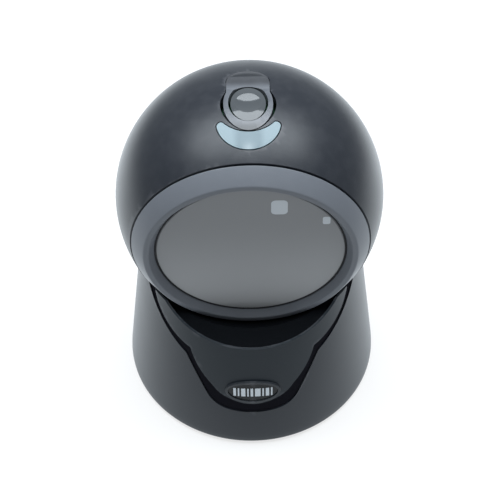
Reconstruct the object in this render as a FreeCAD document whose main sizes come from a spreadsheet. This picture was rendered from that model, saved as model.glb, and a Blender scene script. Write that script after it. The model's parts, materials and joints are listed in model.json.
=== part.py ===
# Hands-free presentation scanner: a ball head that tilts in a flared cup base.
# Frame: millimetres, origin at the centre of the footprint, +Z up, window towards -Y, +X right.
import FreeCAD, Part
import os
import re
import Sketcher

SIZES = {
    # ball head
    "ball_radius": 48.0,
    "ball_height": 91.3,
    "shell_wall": 2.4,
    "split_drop": 8.0,
    "seam_gap": 0.3,
    "fit_gap": 0.15,
    # window frame, measured forwards of the ball centre
    "seam_forward": 23.2,
    "lip_forward": 29.2,
    "lip_inset": 0.5,
    "lip_width": 1.8,
    "frame_width": 4.7,
    "glass_forward": 26.5,
    "glass_thickness": 2.0,
    "gasket_width": 0.7,
    "seat_width": 2.6,
    "skirt_back": 20.0,
    # base
    "cup_gap": 0.5,
    "cup_wall": 2.0,
    "rim_drop": 26.9,
    "rim_height": "=ball_height - rim_drop",
    "rim_edge": 0.8,
    "front_rim_drop": 35.7,
    "front_rim_height": "=ball_height - front_rim_drop",
    "scoop_reach": 26.7,
    "scoop_sag": 0.9,
    "foot_radius": 48.5,
    "skirt_height": 2.0,
    "ground_gap": 0.6,
    "base_wall": 2.4,
    "ledge_drop": 4.4,
    "cradle_lift": 8.7,
    "cradle_floor": "=ball_height - ball_radius - cup_gap + cradle_lift",
    "pad_radius": 15.0,
    "pad_drop": 4.3,
    "pad_height": "=ball_height - ball_radius - cup_gap - pad_drop",
    # front panel and the dark band round it
    "panel_top": 35.3,
    "panel_kink_across": 22.9,
    "panel_kink_height": 47.9,
    "panel_low_across": 15.4,
    "panel_low_height": 31.6,
    "panel_corner_across": 8.7,
    "panel_corner_height": 25.7,
    "panel_bottom": 23.5,
    "band_width": 1.9,
    "band_foot": 2.4,
    "band_recess": 0.8,
    "band_flange": 2.5,
    "flange_thickness": 1.4,
    # badge
    "badge_height": 31.4,
    "badge_across": 21.0,
    "badge_tall": 12.6,
    "badge_edge": 1.2,
    "badge_proud": 0.9,
    "badge_dish": 0.4,
    "badge_sunk": 0.6,
    "bar_tall": 4.4,
    "bar_proud": 0.25,
    # tilt pivot
    "post_radius": 6.5,
    "post_bore": 4.2,
    "hub_radius": 6.4,
    "hub_length": 14.0,
    "pin_radius": 3.0,
    "running_gap": 0.05,
    "washer_thickness": 1.0,
    "ear_thickness": 1.5,
    "flange_drop": 3.0,
    "tilt_down": 12.0,
    "tilt_up": 20.0,
    "slot_margin": 1.5,
    # inside the head
    "chassis_back": 10.5,
    "chassis_thickness": 2.5,
    "boss_radius": 3.2,
    "boss_inset": 6.0,
    "screw_radius": 1.4,
    "thread_gap": 0.02,
    "screw_gap": 0.25,
    "board_across": 46.0,
    "board_tall": 40.0,
    "board_thickness": 1.6,
    "standoff": 1.5,
    # button, collar and status lens on the crown
    "button_across": 6.2,
    "button_stretch": 1.6,
    "button_gap": 0.45,
    "button_travel": 1.0,
    "button_proud": -0.5,
    "dome_radius": 30.0,
    "dish_depth": 1.1,
    "dish_radius": 13.0,
    "collar_across": 8.6,
    "collar_front": 12.0,
    "collar_rear": 17.2,
    "collar_gap": 0.35,
    "collar_depth": 6.0,
    "switch_screw_length": 4.6,
    "lens_front": 18.5,
    "lens_across": 10.6,
    "lens_rear": 10.0,
    # bottom and socket
    "plate_thickness": 2.6,
    "foot_pad_radius": 5.5,
    "foot_pad_circle": 36.0,
    "ballast_radius": 35.0,
    "ballast_thickness": 6.0,
    "post_screw_circle": 10.8,
    "bottom_boss_circle": 42.2,
    "socket_across": 15.9,
    "socket_tall": 13.2,
    "socket_deep": 16.5,
    "port_across": 11.8,
    "port_tall": 7.0,
    "socket_floor": 8.2,
}

CUP = "(ball_radius + cup_gap)"
LIP = "(sqrt(ball_radius^2 - lip_forward^2) - lip_inset)"
GLASS = f"({LIP} - frame_width)"
CHASSIS_FRONT = "(chassis_back + chassis_thickness)"
CHASSIS = f"(sqrt((ball_radius - shell_wall)^2 - {CHASSIS_FRONT}^2) - fit_gap)"
BOARD_BACK = f"({CHASSIS_FRONT} + standoff)"
BOARD_FRONT = f"({BOARD_BACK} + board_thickness)"
RIM = f"(sqrt({CUP}^2 - (ball_height - rim_height)^2) + rim_edge)"
TOP = "(ball_height + ball_radius)"
PLATE_TOP = "(ground_gap + plate_thickness)"
SWITCH_BOARD_TOP = "(ball_height + sqrt((ball_radius - collar_depth)^2 - collar_front^2) - 0.2)"
EAR_IN = "(hub_length / 2 + washer_thickness + 0.1)"
FORK_SCREWS = [(side, level) for side in (-1, 1) for level in (-3, 11)]
BAR_WIDTHS = (1.0, 0.6, 1.6, 0.6, 1.0, 2.1, 0.6, 1.3, 0.6)
BAR_SPACE = 0.65

doc = FreeCAD.newDocument("presentation_scanner")
sheet = doc.addObject("Spreadsheet::Sheet", "dims")
for row, alias in enumerate(SIZES, 1):
    sheet.set(f"A{row}", alias)
    sheet.setAlias(f"B{row}", alias)
for row, number in enumerate(SIZES.values(), 1):
    sheet.set(f"B{row}", str(number))
doc.recompute()

kept = []


# ---------- helpers ----------

def linked(expression):
    """The expression with each size's name pointed at its cell."""
    return re.sub(r"[a-z_]+", lambda word: "dims." + word.group() if word.group() in SIZES else word.group(),
                  str(expression))


def measure(expression):
    return float(sheet.evalExpression(linked(expression)))


def set_sizes(thing, **expressions):
    for size, expression in expressions.items():
        thing.setExpression(size, linked(expression))


def put(thing, across="0", deep="0", high="0"):
    set_sizes(thing, **{"Placement.Base.x": across, "Placement.Base.y": deep, "Placement.Base.z": high})
    return thing


def turn(thing, axis, angle):
    thing.Placement = FreeCAD.Placement(FreeCAD.Vector(), FreeCAD.Rotation(FreeCAD.Vector(*axis), angle))
    return thing


def keep(thing, label):
    thing.Label = label
    kept.append(thing)
    return thing


def new_sketch(name, plane, body=None, offset=None):
    """A sketch on a body's own origin plane, or standing free in the same plane."""
    if body:
        sketch = body.newObject("Sketcher::SketchObject", name)
        support = [part for part in body.Origin.OriginFeatures if part.Role == plane][0]
        sketch.AttachmentSupport = [(support, "")]
        sketch.MapMode = "FlatFace"
        if offset:
            sketch.setExpression("AttachmentOffset.Base.z", linked(offset))
    else:
        sketch = doc.addObject("Sketcher::SketchObject", name)
        if plane == "XZ_Plane":
            turn(sketch, (1, 0, 0), 90)
        if offset:
            sketch.setExpression("Placement.Base.z", linked(offset))
    return sketch


def pin_point(sketch, geometry, end, across, up):
    for kind, expression in (("DistanceX", across), ("DistanceY", up)):
        number = sketch.addConstraint(Sketcher.Constraint(kind, geometry, end, measure(expression)))
        sketch.setExpression(f"Constraints[{number}]", linked(expression))


def outline(sketch, path):
    """A closed loop of corners (x, y); four values make the edge into that corner an arc via (x, y)."""
    first = sketch.GeometryCount
    corners = [FreeCAD.Vector(measure(corner[0]), measure(corner[1]), 0) for corner in path]
    for index, corner in enumerate(path):
        start = corners[index - 1]
        if len(corner) == 2:
            sketch.addGeometry(Part.LineSegment(start, corners[index]))
        else:
            middle = FreeCAD.Vector(measure(corner[2]), measure(corner[3]), 0)
            round_end = corners[index]
            if (middle - start).cross(round_end - middle).z < 0:
                start, round_end = round_end, start
            sketch.addGeometry(Part.Arc(start, middle, round_end))
    count = len(path)
    ends = []
    for index in range(count):
        edge = sketch.Geometry[first + index]
        ends.append(1 if edge.EndPoint.distanceToPoint(corners[index]) > 1e-6 else 2)
    for index, corner in enumerate(path):
        after = (index + 1) % count
        sketch.addConstraint(Sketcher.Constraint("Coincident", first + index, ends[index],
                                                 first + after, 3 - ends[after]))
        pin_point(sketch, first + index, ends[index], corner[0], corner[1])
        if len(corner) == 4:
            via = sketch.addGeometry(Part.Point(FreeCAD.Vector(measure(corner[2]), measure(corner[3]), 0)), True)
            pin_point(sketch, via, 1, corner[2], corner[3])
            sketch.addConstraint(Sketcher.Constraint("PointOnObject", via, 1, first + index))


def circle(sketch, across, up, radius):
    spot = FreeCAD.Vector(measure(across), measure(up), 0)
    hoop = sketch.addGeometry(Part.Circle(spot, FreeCAD.Vector(0, 0, 1), measure(radius)))
    pin_point(sketch, hoop, 3, across, up)
    number = sketch.addConstraint(Sketcher.Constraint("Radius", hoop, measure(radius)))
    sketch.setExpression(f"Constraints[{number}]", linked(radius))


def rectangle(sketch, left, right, low, high):
    outline(sketch, [(left, low), (right, low), (right, high), (left, high)])


def new_body(label):
    return keep(doc.addObject("PartDesign::Body", label), label)


def revolve(body, sketch, axis="V_Axis", kind="Revolution"):
    feature = body.newObject("PartDesign::" + kind, sketch.Name + "_turned")
    feature.Profile = sketch
    feature.ReferenceAxis = (sketch, [axis])
    feature.Angle = 360
    doc.recompute()
    return feature


def pad(body, sketch, length, back=False):
    feature = body.newObject("PartDesign::Pad", sketch.Name + "_pad")
    feature.Profile = sketch
    set_sizes(feature, Length=length)
    feature.Reversed = back
    doc.recompute()
    return feature


def pocket(body, sketch, length=None, back=False, both=False):
    """A pocket that must take material away: it stops the build if it cuts nothing."""
    before = body.Shape.Volume
    feature = body.newObject("PartDesign::Pocket", sketch.Name + "_pocket")
    feature.Profile = sketch
    if length:
        set_sizes(feature, Length=length)
    else:
        feature.Type = "ThroughAll"
    feature.Reversed = back
    feature.Midplane = both
    doc.recompute()
    if body.Shape.Volume > before - 1e-3:
        raise RuntimeError(sketch.Name + " cuts nothing")
    return feature


def cylinder(name, radius, height, axis="Z"):
    """A cylinder from the origin along +Z, -Y (forwards) or +X."""
    solid = doc.addObject("Part::Cylinder", name)
    set_sizes(solid, Radius=radius, Height=height)
    if axis == "Y":
        turn(solid, (1, 0, 0), 90)
    if axis == "X":
        turn(solid, (0, 1, 0), 90)
    return solid


def box(name, across, deep, high, centre_x="0", low_y="0", low_z="0"):
    """A box centred on centre_x, from low_y back and low_z up."""
    solid = doc.addObject("Part::Box", name)
    set_sizes(solid, Length=across, Width=deep, Height=high)
    return put(solid, f"{centre_x} - ({across}) / 2", low_y, low_z)


def ball(name, radius):
    solid = doc.addObject("Part::Sphere", name)
    set_sizes(solid, Radius=radius)
    return put(solid, high="ball_height")


def less(name, base, *tools):
    solid = base
    for number, tool in enumerate(tools):
        cut = doc.addObject("Part::Cut", f"{name}_{number}")
        cut.Base = solid
        cut.Tool = tool
        solid = cut
    return solid


def joined(name, *solids):
    whole = doc.addObject("Part::MultiFuse", name)
    whole.Shapes = list(solids)
    return whole


def shared(name, *solids):
    common = doc.addObject("Part::MultiCommon", name)
    common.Shapes = list(solids)
    return common


def group(label, solids):
    """Identical pieces kept as separate solids of one node."""
    bundle = doc.addObject("Part::Compound", label)
    bundle.Links = solids
    return keep(bundle, label)


def extruded(name, sketch, length):
    """A free sketch pushed along its own normal."""
    solid = doc.addObject("Part::Extrusion", name)
    solid.Base = sketch
    solid.DirMode = "Normal"
    solid.Solid = True
    set_sizes(solid, LengthFwd=length)
    return solid


def screw(name, length, head_radius="2.6", head_height="1.4", axis="Z"):
    """A pan-head screw: head first, shank along the axis from the origin."""
    shank = cylinder(name + "_shank", "screw_radius", f"({length})", axis)
    head = cylinder(name + "_head", head_radius, head_height, axis)
    shift = {"X": "Placement.Base.x", "Z": "Placement.Base.z"}
    if axis == "Y":
        head.setExpression("Placement.Base.y", linked(head_height))
    else:
        head.setExpression(shift[axis], linked(f"-({head_height})"))
    return joined(name, shank, head)


# ---------- base ----------

def flare(height, offset="0"):
    """Radius of the flared base at a height, shifted outwards by an offset."""
    fall = f"(foot_radius - {RIM}) / (rim_height - skirt_height)"
    return f"(foot_radius - {fall} * ({height} - skirt_height) + ({offset}))"


def skin(name, inner, outer, low="ground_gap", high="rim_height"):
    """A layer that follows the flare between two offsets."""
    profile = new_sketch(name + "_profile", "XZ_Plane")
    outline(profile, [(flare(low, inner), low), (flare(low, outer), low),
                      (flare(high, outer), high), (flare(high, inner), high)])
    layer = doc.addObject("Part::Revolution", name)
    layer.Source = profile
    layer.Axis = FreeCAD.Vector(0, 0, 1)
    layer.Angle = 360
    layer.Solid = True
    return layer


def scoop_path(drop):
    """Side view of what is cut away above the rim: it falls towards the front."""
    front = f"-({RIM} + 4)"
    slope = "(rim_height - front_rim_height) / (RIM - scoop_reach)".replace("RIM", RIM)
    low = f"front_rim_height - 4 * {slope} - ({drop})"
    high = f"rim_height - ({drop})"
    middle_y = f"(-scoop_reach - {RIM} - 4) / 2"
    middle_z = f"({low} + {high}) / 2 - scoop_sag"
    above = "rim_height + 12"
    return [(front, low), ("-scoop_reach", high, middle_y, middle_z), ("-scoop_reach + 8", f"{high} + 9"),
            ("-scoop_reach + 8", above), (front, above)]


def half_loop(foot_middle, right):
    """A loop mirrored about the centre line, from its right half given bottom to top."""
    foot = right[0]
    left = [(f"-({right[-1][0]})", right[-1][1])]
    for corner, after in zip(reversed(right[:-1]), reversed(right[1:])):
        left.append((f"-({corner[0]})", corner[1], f"-({after[2]})", after[3]))
    return [(foot[0], foot[1], "0", foot_middle)] + right[1:] + left


def panel_loop(grow, foot_grow):
    """Front view of the panel, grown sideways and, by its own amount, at the foot."""
    top = "rim_height + 3"
    side_x = f"(panel_top + panel_kink_across) / 2 + 3.4 + ({grow})"
    side_z = f"({top} + panel_kink_height) / 2 - 1.6"
    flank_x = f"(panel_kink_across + panel_low_across) / 2 + 1.1 + ({grow})"
    flank_z = f"(panel_kink_height + panel_low_height) / 2 - ({grow}) / 2"
    corner_x = f"(panel_low_across + panel_corner_across) / 2 + 0.5 + ({grow}) * 0.7"
    corner_z = f"(panel_low_height + panel_corner_height) / 2 - 0.6 - ({foot_grow}) * 2.15"
    return half_loop(f"panel_bottom - ({foot_grow}) * 1.6", [
        (f"panel_corner_across + ({grow}) * 0.3", f"panel_corner_height - 2.1 * ({foot_grow})"),
        (f"panel_low_across + ({grow})", f"panel_low_height - 2.4 * ({grow})", corner_x, corner_z),
        (f"panel_kink_across + ({grow}) * 0.8", f"panel_kink_height - 1.8 * ({grow})", flank_x, flank_z),
        (f"panel_top + ({grow}) * 1.6", top, side_x, side_z),
    ])


def panel_prism(name, grow, foot_grow):
    sketch = new_sketch(name + "_outline", "XZ_Plane")
    outline(sketch, panel_loop(grow, foot_grow))
    return extruded(name, sketch, "foot_radius + 10")


def make_base_shell():
    """The flared outer cover, open at the front for the panel and cut down at the rim."""
    body = new_body("base_shell")
    profile = new_sketch("base_shell_profile", "XZ_Plane", body)
    ledge = "(rim_height - ledge_drop)"
    outline(profile, [
        (f"{flare('ground_gap', '-base_wall')}", "ground_gap"),
        ("foot_radius - 1.2", "ground_gap"),
        ("foot_radius", "skirt_height"),
        (RIM, "rim_height"),
        (f"{RIM} - rim_edge", "rim_height"),
        (f"sqrt({CUP}^2 - (ball_height - {ledge})^2)", ledge,
         f"sqrt({CUP}^2 - (ball_height - {ledge} / 2 - rim_height / 2)^2)", f"({ledge} + rim_height) / 2"),
        (flare(ledge, "-base_wall"), ledge),
    ])
    revolve(body, profile)
    scoop = new_sketch("base_shell_scoop", "YZ_Plane", body)
    outline(scoop, scoop_path("0"))
    pocket(body, scoop, both=True)
    opening = new_sketch("base_shell_opening", "XZ_Plane", body)
    outline(opening, panel_loop("band_width", "band_foot"))
    pocket(body, opening, back=True)
    for number in range(4):
        boss = new_sketch(f"bottom_boss_{number}", "XY_Plane", body, PLATE_TOP)
        angle = 45 + 90 * number
        circle(boss, f"bottom_boss_circle * cos({angle})", f"bottom_boss_circle * sin({angle})", "boss_radius")
        pad(body, boss, "16")
    for number in range(4):
        hole = new_sketch(f"bottom_boss_hole_{number}", "XY_Plane", body, f"{PLATE_TOP} + 10")
        angle = 45 + 90 * number
        circle(hole, f"bottom_boss_circle * cos({angle})", f"bottom_boss_circle * sin({angle})",
               "screw_radius + thread_gap")
        pocket(body, hole, "11")
    port = new_sketch("base_shell_port", "XZ_Plane", body)
    middle = "(socket_floor + socket_tall / 2)"
    rectangle(port, "-port_across / 2 - 0.6", "port_across / 2 + 0.6",
              f"{middle} - port_tall / 2 - 0.6", f"{middle} + port_tall / 2 + 0.6")
    pocket(body, port)
    return body


def make_front():
    """Panel, recessed dark band with a hidden flange, and an oval badge with plain bars."""
    outer = skin("panel_layer", "-base_wall", "0")
    inside = panel_prism("panel_prism", "0", "0")
    above = extruded_scoop("panel_scoop", "0")
    seat = shared("badge_seat", skin("seat_layer", "-badge_sunk", "2"), badge_prism("seat_oval", "fit_gap / 2"))
    keep(less("front_panel", shared("panel_block", outer, inside), above, seat, ball("panel_clear", CUP)),
         "front_panel")

    channel = skin("band_layer", "-base_wall - fit_gap", "-band_recess")
    face = shared("band_face", channel, panel_prism("band_outer", "band_width - fit_gap / 2", "band_foot - fit_gap / 2"))
    face = less("band_ring", face, panel_prism("band_inner", "fit_gap / 2", "fit_gap / 2"),
                extruded_scoop("band_scoop", "0.6"), ball("band_clear", CUP))
    under = skin("flange_layer", "-base_wall - flange_thickness", "-base_wall - fit_gap",
                 high="cradle_floor - fit_gap")
    flange = shared("flange_face", under, panel_prism("flange_outer", "band_width + band_flange",
                                                      "band_foot + band_flange / 2"))
    flange = less("flange_ring", flange, panel_prism("flange_inner", "-band_flange", "-band_flange / 2"))
    keep(joined("trim_band", face, flange), "trim_band")

    plate = shared("badge_block", skin("badge_layer", "-badge_sunk", "badge_proud"), badge_prism("badge_oval", "0"))
    dish = shared("badge_dish", skin("dish_layer", "badge_proud - badge_dish", "badge_proud + 2"),
                  badge_prism("dish_oval", "-badge_edge"))
    keep(less("badge_plate", plate, dish), "badge_plate")
    bars = []
    bar_layer = skin("bar_layer", "badge_proud - badge_dish", "badge_proud - badge_dish + bar_proud")
    left = -sum(BAR_WIDTHS, BAR_SPACE * (len(BAR_WIDTHS) - 1)) / 2
    for number, width in enumerate(BAR_WIDTHS):
        slab = box(f"bar_slab_{number}", str(width), "foot_radius + 4", "bar_tall",
                   str(round(left + width / 2, 3)), "-foot_radius - 4", "badge_height - bar_tall / 2")
        bars.append(shared(f"bar_{number}", bar_layer, slab))
        left += width + BAR_SPACE
    group("badge_bars", bars)


def extruded_scoop(name, drop):
    """The rim's scoop as a solid that reaches both sides."""
    sketch = doc.addObject("Sketcher::SketchObject", name + "_side")
    sketch.Placement = FreeCAD.Placement(FreeCAD.Vector(), FreeCAD.Rotation(0.5, 0.5, 0.5, 0.5))
    outline(sketch, scoop_path(drop))
    solid = extruded(name, sketch, "foot_radius + 10")
    solid.setExpression("LengthRev", linked("foot_radius + 10"))
    return solid


def oval_prism(name, half_across, half_long, low, high):
    """An upright prism with an oval section about the vertical axis."""
    oval = doc.addObject("Part::Ellipse", name + "_outline")
    set_sizes(oval, MajorRadius=half_long, MinorRadius=half_across)
    put(turn(oval, (0, 0, 1), 90), high=low)
    solid = extruded(name, oval, f"({high}) - ({low})")
    solid.DirMode = "Custom"
    solid.Dir = FreeCAD.Vector(0, 0, 1)
    return solid


def badge_prism(name, grow):
    """An upright ellipse pushed forwards through the front of the base."""
    oval = doc.addObject("Part::Ellipse", name + "_outline")
    set_sizes(oval, MajorRadius=f"badge_across / 2 + ({grow})", MinorRadius=f"badge_tall / 2 + ({grow})")
    put(turn(oval, (1, 0, 0), 90), high="badge_height")
    solid = extruded(name, oval, "foot_radius + 10")
    solid.DirMode = "Custom"
    solid.Dir = FreeCAD.Vector(0, -1, 0)
    return solid


def make_cradle():
    """The black cup that backs the ball, with a rim flange and a pad for the post."""
    body = new_body("cradle")
    low = "cradle_floor"
    high = "(rim_height - ledge_drop - fit_gap)"
    shell = f"({CUP} + cup_wall)"
    bore = "(post_radius + fit_gap)"
    profile = new_sketch("cradle_profile", "XZ_Plane", body)
    mid_in = f"({CUP} * 0.62)"
    mid_out = f"({shell} * 0.5)"
    outline(profile, [
        (bore, "pad_height"),
        (bore, f"ball_height - sqrt({CUP}^2 - {bore}^2)"),
        (f"sqrt({CUP}^2 - (ball_height - {high})^2)", high, mid_in, f"ball_height - sqrt({CUP}^2 - {mid_in}^2)"),
        (flare(high, "-base_wall - 2 * fit_gap"), high),
        (flare(low, "-base_wall - 2 * fit_gap"), low),
        (f"sqrt({shell}^2 - (ball_height - {low})^2)", low),
        ("pad_radius", f"ball_height - sqrt({shell}^2 - pad_radius^2)", mid_out,
         f"ball_height - sqrt({shell}^2 - {mid_out}^2)"),
        ("pad_radius", "pad_height"),
    ])
    revolve(body, profile)
    scoop = new_sketch("cradle_scoop", "YZ_Plane", body)
    outline(scoop, scoop_path("1.4"))
    pocket(body, scoop, both=True)
    for number in range(3):
        hole = new_sketch(f"cradle_screw_hole_{number}", "XY_Plane", body, "pad_height + 4")
        angle = 90 + 120 * number
        circle(hole, f"post_screw_circle * cos({angle})", f"post_screw_circle * sin({angle})",
               "screw_radius + thread_gap")
        pocket(body, hole, "5")


def make_post():
    """A hollow post on a flange, with a cross hub that carries the tilt pin."""
    body = new_body("pivot_post")
    profile = new_sketch("post_profile", "XZ_Plane", body)
    foot = "(pad_height - flange_drop)"
    roof = "(ball_height - hub_radius - 1)"
    outline(profile, [
        ("post_bore", foot), ("pad_radius - 0.5", foot), ("pad_radius - 0.5", "pad_height"),
        ("post_radius", "pad_height"), ("post_radius", "ball_height"), ("0", "ball_height"),
        ("0", roof), ("post_bore", f"{roof} - 2"),
    ])
    revolve(body, profile)
    hub = new_sketch("post_hub", "YZ_Plane", body)
    circle(hub, "0", "ball_height", "hub_radius")
    feature = pad(body, hub, "hub_length")
    feature.Midplane = True
    bore = new_sketch("post_pin_bore", "YZ_Plane", body)
    circle(bore, "0", "ball_height", "pin_radius + running_gap")
    pocket(body, bore, both=True)
    lead_exit = new_sketch("post_lead_exit", "XZ_Plane", body)
    rectangle(lead_exit, "-2.6", "2.6", f"{roof} - 9", f"{roof} - 3.5")
    pocket(body, lead_exit)
    for number in range(3):
        hole = new_sketch(f"post_screw_hole_{number}", "XY_Plane", body, "pad_height + 1")
        angle = 90 + 120 * number
        circle(hole, f"post_screw_circle * cos({angle})", f"post_screw_circle * sin({angle})",
               "screw_radius + screw_gap")
        pocket(body, hole, "6")


def make_bottom():
    """Bottom plate, steel ballast, rubber feet and the screws of the base."""
    edge = f"min({flare(PLATE_TOP, '-base_wall - fit_gap')}; {flare('ground_gap', '-base_wall - fit_gap')})"
    body = new_body("bottom_plate")
    disc = new_sketch("bottom_disc", "XY_Plane", body, "ground_gap")
    circle(disc, "0", "0", edge)
    pad(body, disc, "plate_thickness")
    for number in range(4):
        angle = 90 * number
        recess = new_sketch(f"foot_recess_{number}", "XY_Plane", body, "ground_gap + 1")
        circle(recess, f"foot_pad_circle * cos({angle})", f"foot_pad_circle * sin({angle})",
               "foot_pad_radius + fit_gap")
        pocket(body, recess, "4")
        hole = new_sketch(f"bottom_hole_{number}", "XY_Plane", body, PLATE_TOP)
        circle(hole, f"bottom_boss_circle * cos({angle + 45})", f"bottom_boss_circle * sin({angle + 45})",
               "screw_radius + screw_gap")
        pocket(body, hole, "plate_thickness + 1")
        sink = new_sketch(f"bottom_sink_{number}", "XY_Plane", body, "ground_gap + 1.5")
        circle(sink, f"bottom_boss_circle * cos({angle + 45})", f"bottom_boss_circle * sin({angle + 45})",
               "2.9")
        pocket(body, sink, "4")
    for side in (-1, 1):
        for row in (20, 32):
            rest = new_sketch(f"board_rest_{side + 1}_{row}", "XY_Plane", body, PLATE_TOP)
            circle(rest, str(9 * side), str(row), "2.2")
            pad(body, rest, f"socket_floor - 1.6 - {PLATE_TOP}")

    feet = []
    screws = []
    for number in range(4):
        angle = 90 * number
        foot = cylinder(f"foot_{number}", "foot_pad_radius", "ground_gap + 1")
        feet.append(put(foot, f"foot_pad_circle * cos({angle})", f"foot_pad_circle * sin({angle})"))
        bolt = screw(f"bottom_screw_{number}", "plate_thickness - 1.5 + 9")
        screws.append(put(bolt, f"bottom_boss_circle * cos({angle + 45})",
                          f"bottom_boss_circle * sin({angle + 45})", "ground_gap + 1.5"))
    group("rubber_feet", feet)
    group("bottom_screws", screws)

    steel = cylinder("ballast_disc", "ballast_radius", "ballast_thickness")
    put(steel, high=PLATE_TOP)
    clear = box("ballast_gap", "30", "40", "20", "0", "14", "ground_gap")
    keep(less("ballast_plate", steel, clear), "ballast_plate")
    bolts = []
    for number in range(3):
        angle = 90 + 120 * number
        bolt = screw(f"post_screw_{number}", "flange_drop + 3.5")
        bolts.append(put(bolt, f"post_screw_circle * cos({angle})", f"post_screw_circle * sin({angle})",
                         "pad_height - flange_drop"))
    group("post_screws", bolts)


def make_socket():
    """The modular cable socket on its small board at the rear of the base."""
    face = "(sqrt((foot_radius - base_wall - 2)^2 - (socket_across / 2)^2) - 0.4)"
    board = box("jack_board", "26", "27", "1.6", "0", "15", "socket_floor - 1.6")
    keep(board, "jack_board")
    block = box("jack_block", "socket_across", "socket_deep", "socket_tall", "0", f"{face} - socket_deep",
                "socket_floor")
    middle = "(socket_floor + socket_tall / 2)"
    cavity = box("jack_cavity", "port_across", "socket_deep", "port_tall", "0", f"{face} - socket_deep + 4",
                 f"{middle} - port_tall / 2")
    keep(less("cable_socket", block, cavity), "cable_socket")
    contacts = []
    for number in range(8):
        wire = box(f"contact_{number}", "0.4", "9", "0.5", str(round(-3.57 + 1.02 * number, 2)),
                   f"{face} - socket_deep + 4", f"{middle} + port_tall / 2 - 0.5")
        contacts.append(wire)
    group("socket_contacts", contacts)


# ---------- head ----------

def forward_tool(name, from_forward):
    """Everything further forward than a plane in front of the ball centre."""
    wide = "(4 * ball_radius)"
    return box(name, wide, "2 * ball_radius", wide, "0", f"-({from_forward}) - 2 * ball_radius",
               f"ball_height - {wide} / 2")


def stretched_prism(name, half, back_y, front_y, low, high):
    """An upright prism with rounded ends that runs from front_y to back_y."""
    sketch = new_sketch(name + "_outline", "XY_Plane", offset=low)
    outline(sketch, [
        (half, f"{back_y} - ({half})"),
        (f"-({half})", f"{back_y} - ({half})", "0", back_y),
        (f"-({half})", f"{front_y} + ({half})"),
        (half, f"{front_y} + ({half})", "0", front_y),
    ])
    return extruded(name, sketch, f"({high}) - ({low})")


def slot_tool():
    """The post's sweep through the lower shell, as a wedge about the tilt axis."""
    half = "(post_radius + slot_margin)"
    beyond = "(asin(post_radius / ball_radius) / 1 deg + slot_margin)"
    front = f"(tilt_down + {beyond})"
    back = f"(tilt_up + {beyond})"
    reach = "(ball_radius * 1.5)"
    sketch = doc.addObject("Sketcher::SketchObject", "slot_side")
    sketch.Placement = FreeCAD.Placement(FreeCAD.Vector(), FreeCAD.Rotation(0.5, 0.5, 0.5, 0.5))
    outline(sketch, [
        ("0", "ball_height"),
        (f"-{reach} * sin({front})", f"ball_height - {reach} * cos({front})"),
        (f"{reach} * sin({back})", f"ball_height - {reach} * cos({back})"),
    ])
    wedge = extruded("slot_wedge", sketch, half)
    wedge.setExpression("LengthRev", linked(half))
    return wedge


def tower(name, angle):
    """A screw tower that runs back from the chassis to the inside of a shell."""
    ring = f"({CHASSIS} - boss_inset)"
    post = cylinder(name, "boss_radius", "2 * ball_radius", "Y")
    put(post, f"{ring} * cos({angle})", f"2 * ball_radius - chassis_back + fit_gap / 2",
        f"ball_height + {ring} * sin({angle})")
    hole = cylinder(name + "_hole", "screw_radius + thread_gap", "12", "Y")
    put(hole, f"{ring} * cos({angle})", "11 - chassis_back", f"ball_height + {ring} * sin({angle})")
    return post, hole


def make_shell(label, upper):
    """Half of the ball's cover, with its screw towers."""
    cut_plane = "(ball_height - split_drop)"
    wide = "(4 * ball_radius)"
    angles = (40, 140) if upper else (220, 320)
    solid = less(label + "_hollow", ball(label + "_out", "ball_radius"),
                 ball(label + "_in", "ball_radius - shell_wall"))
    towers = [tower(f"{label}_tower_{angle}", angle) for angle in angles]
    inside = ball(label + "_inside", "ball_radius - shell_wall / 2")
    posts = [shared(f"{label}_post_{angle}", towers[number][0], inside) for number, angle in enumerate(angles)]
    solid = joined(label + "_with_towers", solid, *posts)
    trims = [towers[0][1], towers[1][1], forward_tool(label + "_front", "seam_forward - seam_gap")]
    if upper:
        trims.append(box(label + "_below", wide, wide, wide, "0", f"-{wide} / 2",
                         f"{cut_plane} + seam_gap / 2 - {wide}"))
        trims.append(stretched_prism("collar_opening", "collar_across + collar_gap", "collar_rear + collar_gap",
                                     "-collar_front - collar_gap", "ball_height", f"{TOP} + 5"))
        trims.append(lens_prism("lens_opening", "0.2"))
    else:
        trims.append(box(label + "_above", wide, wide, wide, "0", f"-{wide} / 2",
                         f"{cut_plane} - seam_gap / 2"))
        trims.append(slot_tool())
    return keep(less(label, solid, *trims), label)


def lens_prism(name, grow):
    """The crescent of the status lens seen from above, hugging the collar's front."""
    front = f"(lens_front + ({grow}))"
    inner = f"(collar_front + 0.9 - ({grow}))"
    tip = f"(lens_across + ({grow}))"
    tip_back = f"(lens_rear - ({grow}))"
    sketch = new_sketch(name + "_outline", "XY_Plane", offset="ball_height")
    outline(sketch, [
        (f"{tip} - 2.3 - ({grow})", f"-{tip_back} - 0.3", f"{tip} - 0.9", f"-{tip_back} + 0.1"),
        (f"-{tip} + 2.3 + ({grow})", f"-{tip_back} - 0.3", "0", f"-{inner}"),
        (f"-{tip}", f"-{tip_back} - 1.6", f"-{tip} + 0.9", f"-{tip_back} + 0.1"),
        (tip, f"-{tip_back} - 1.6", "0", f"-{front}"),
    ])
    return extruded(name, sketch, "ball_radius + 5")


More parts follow.
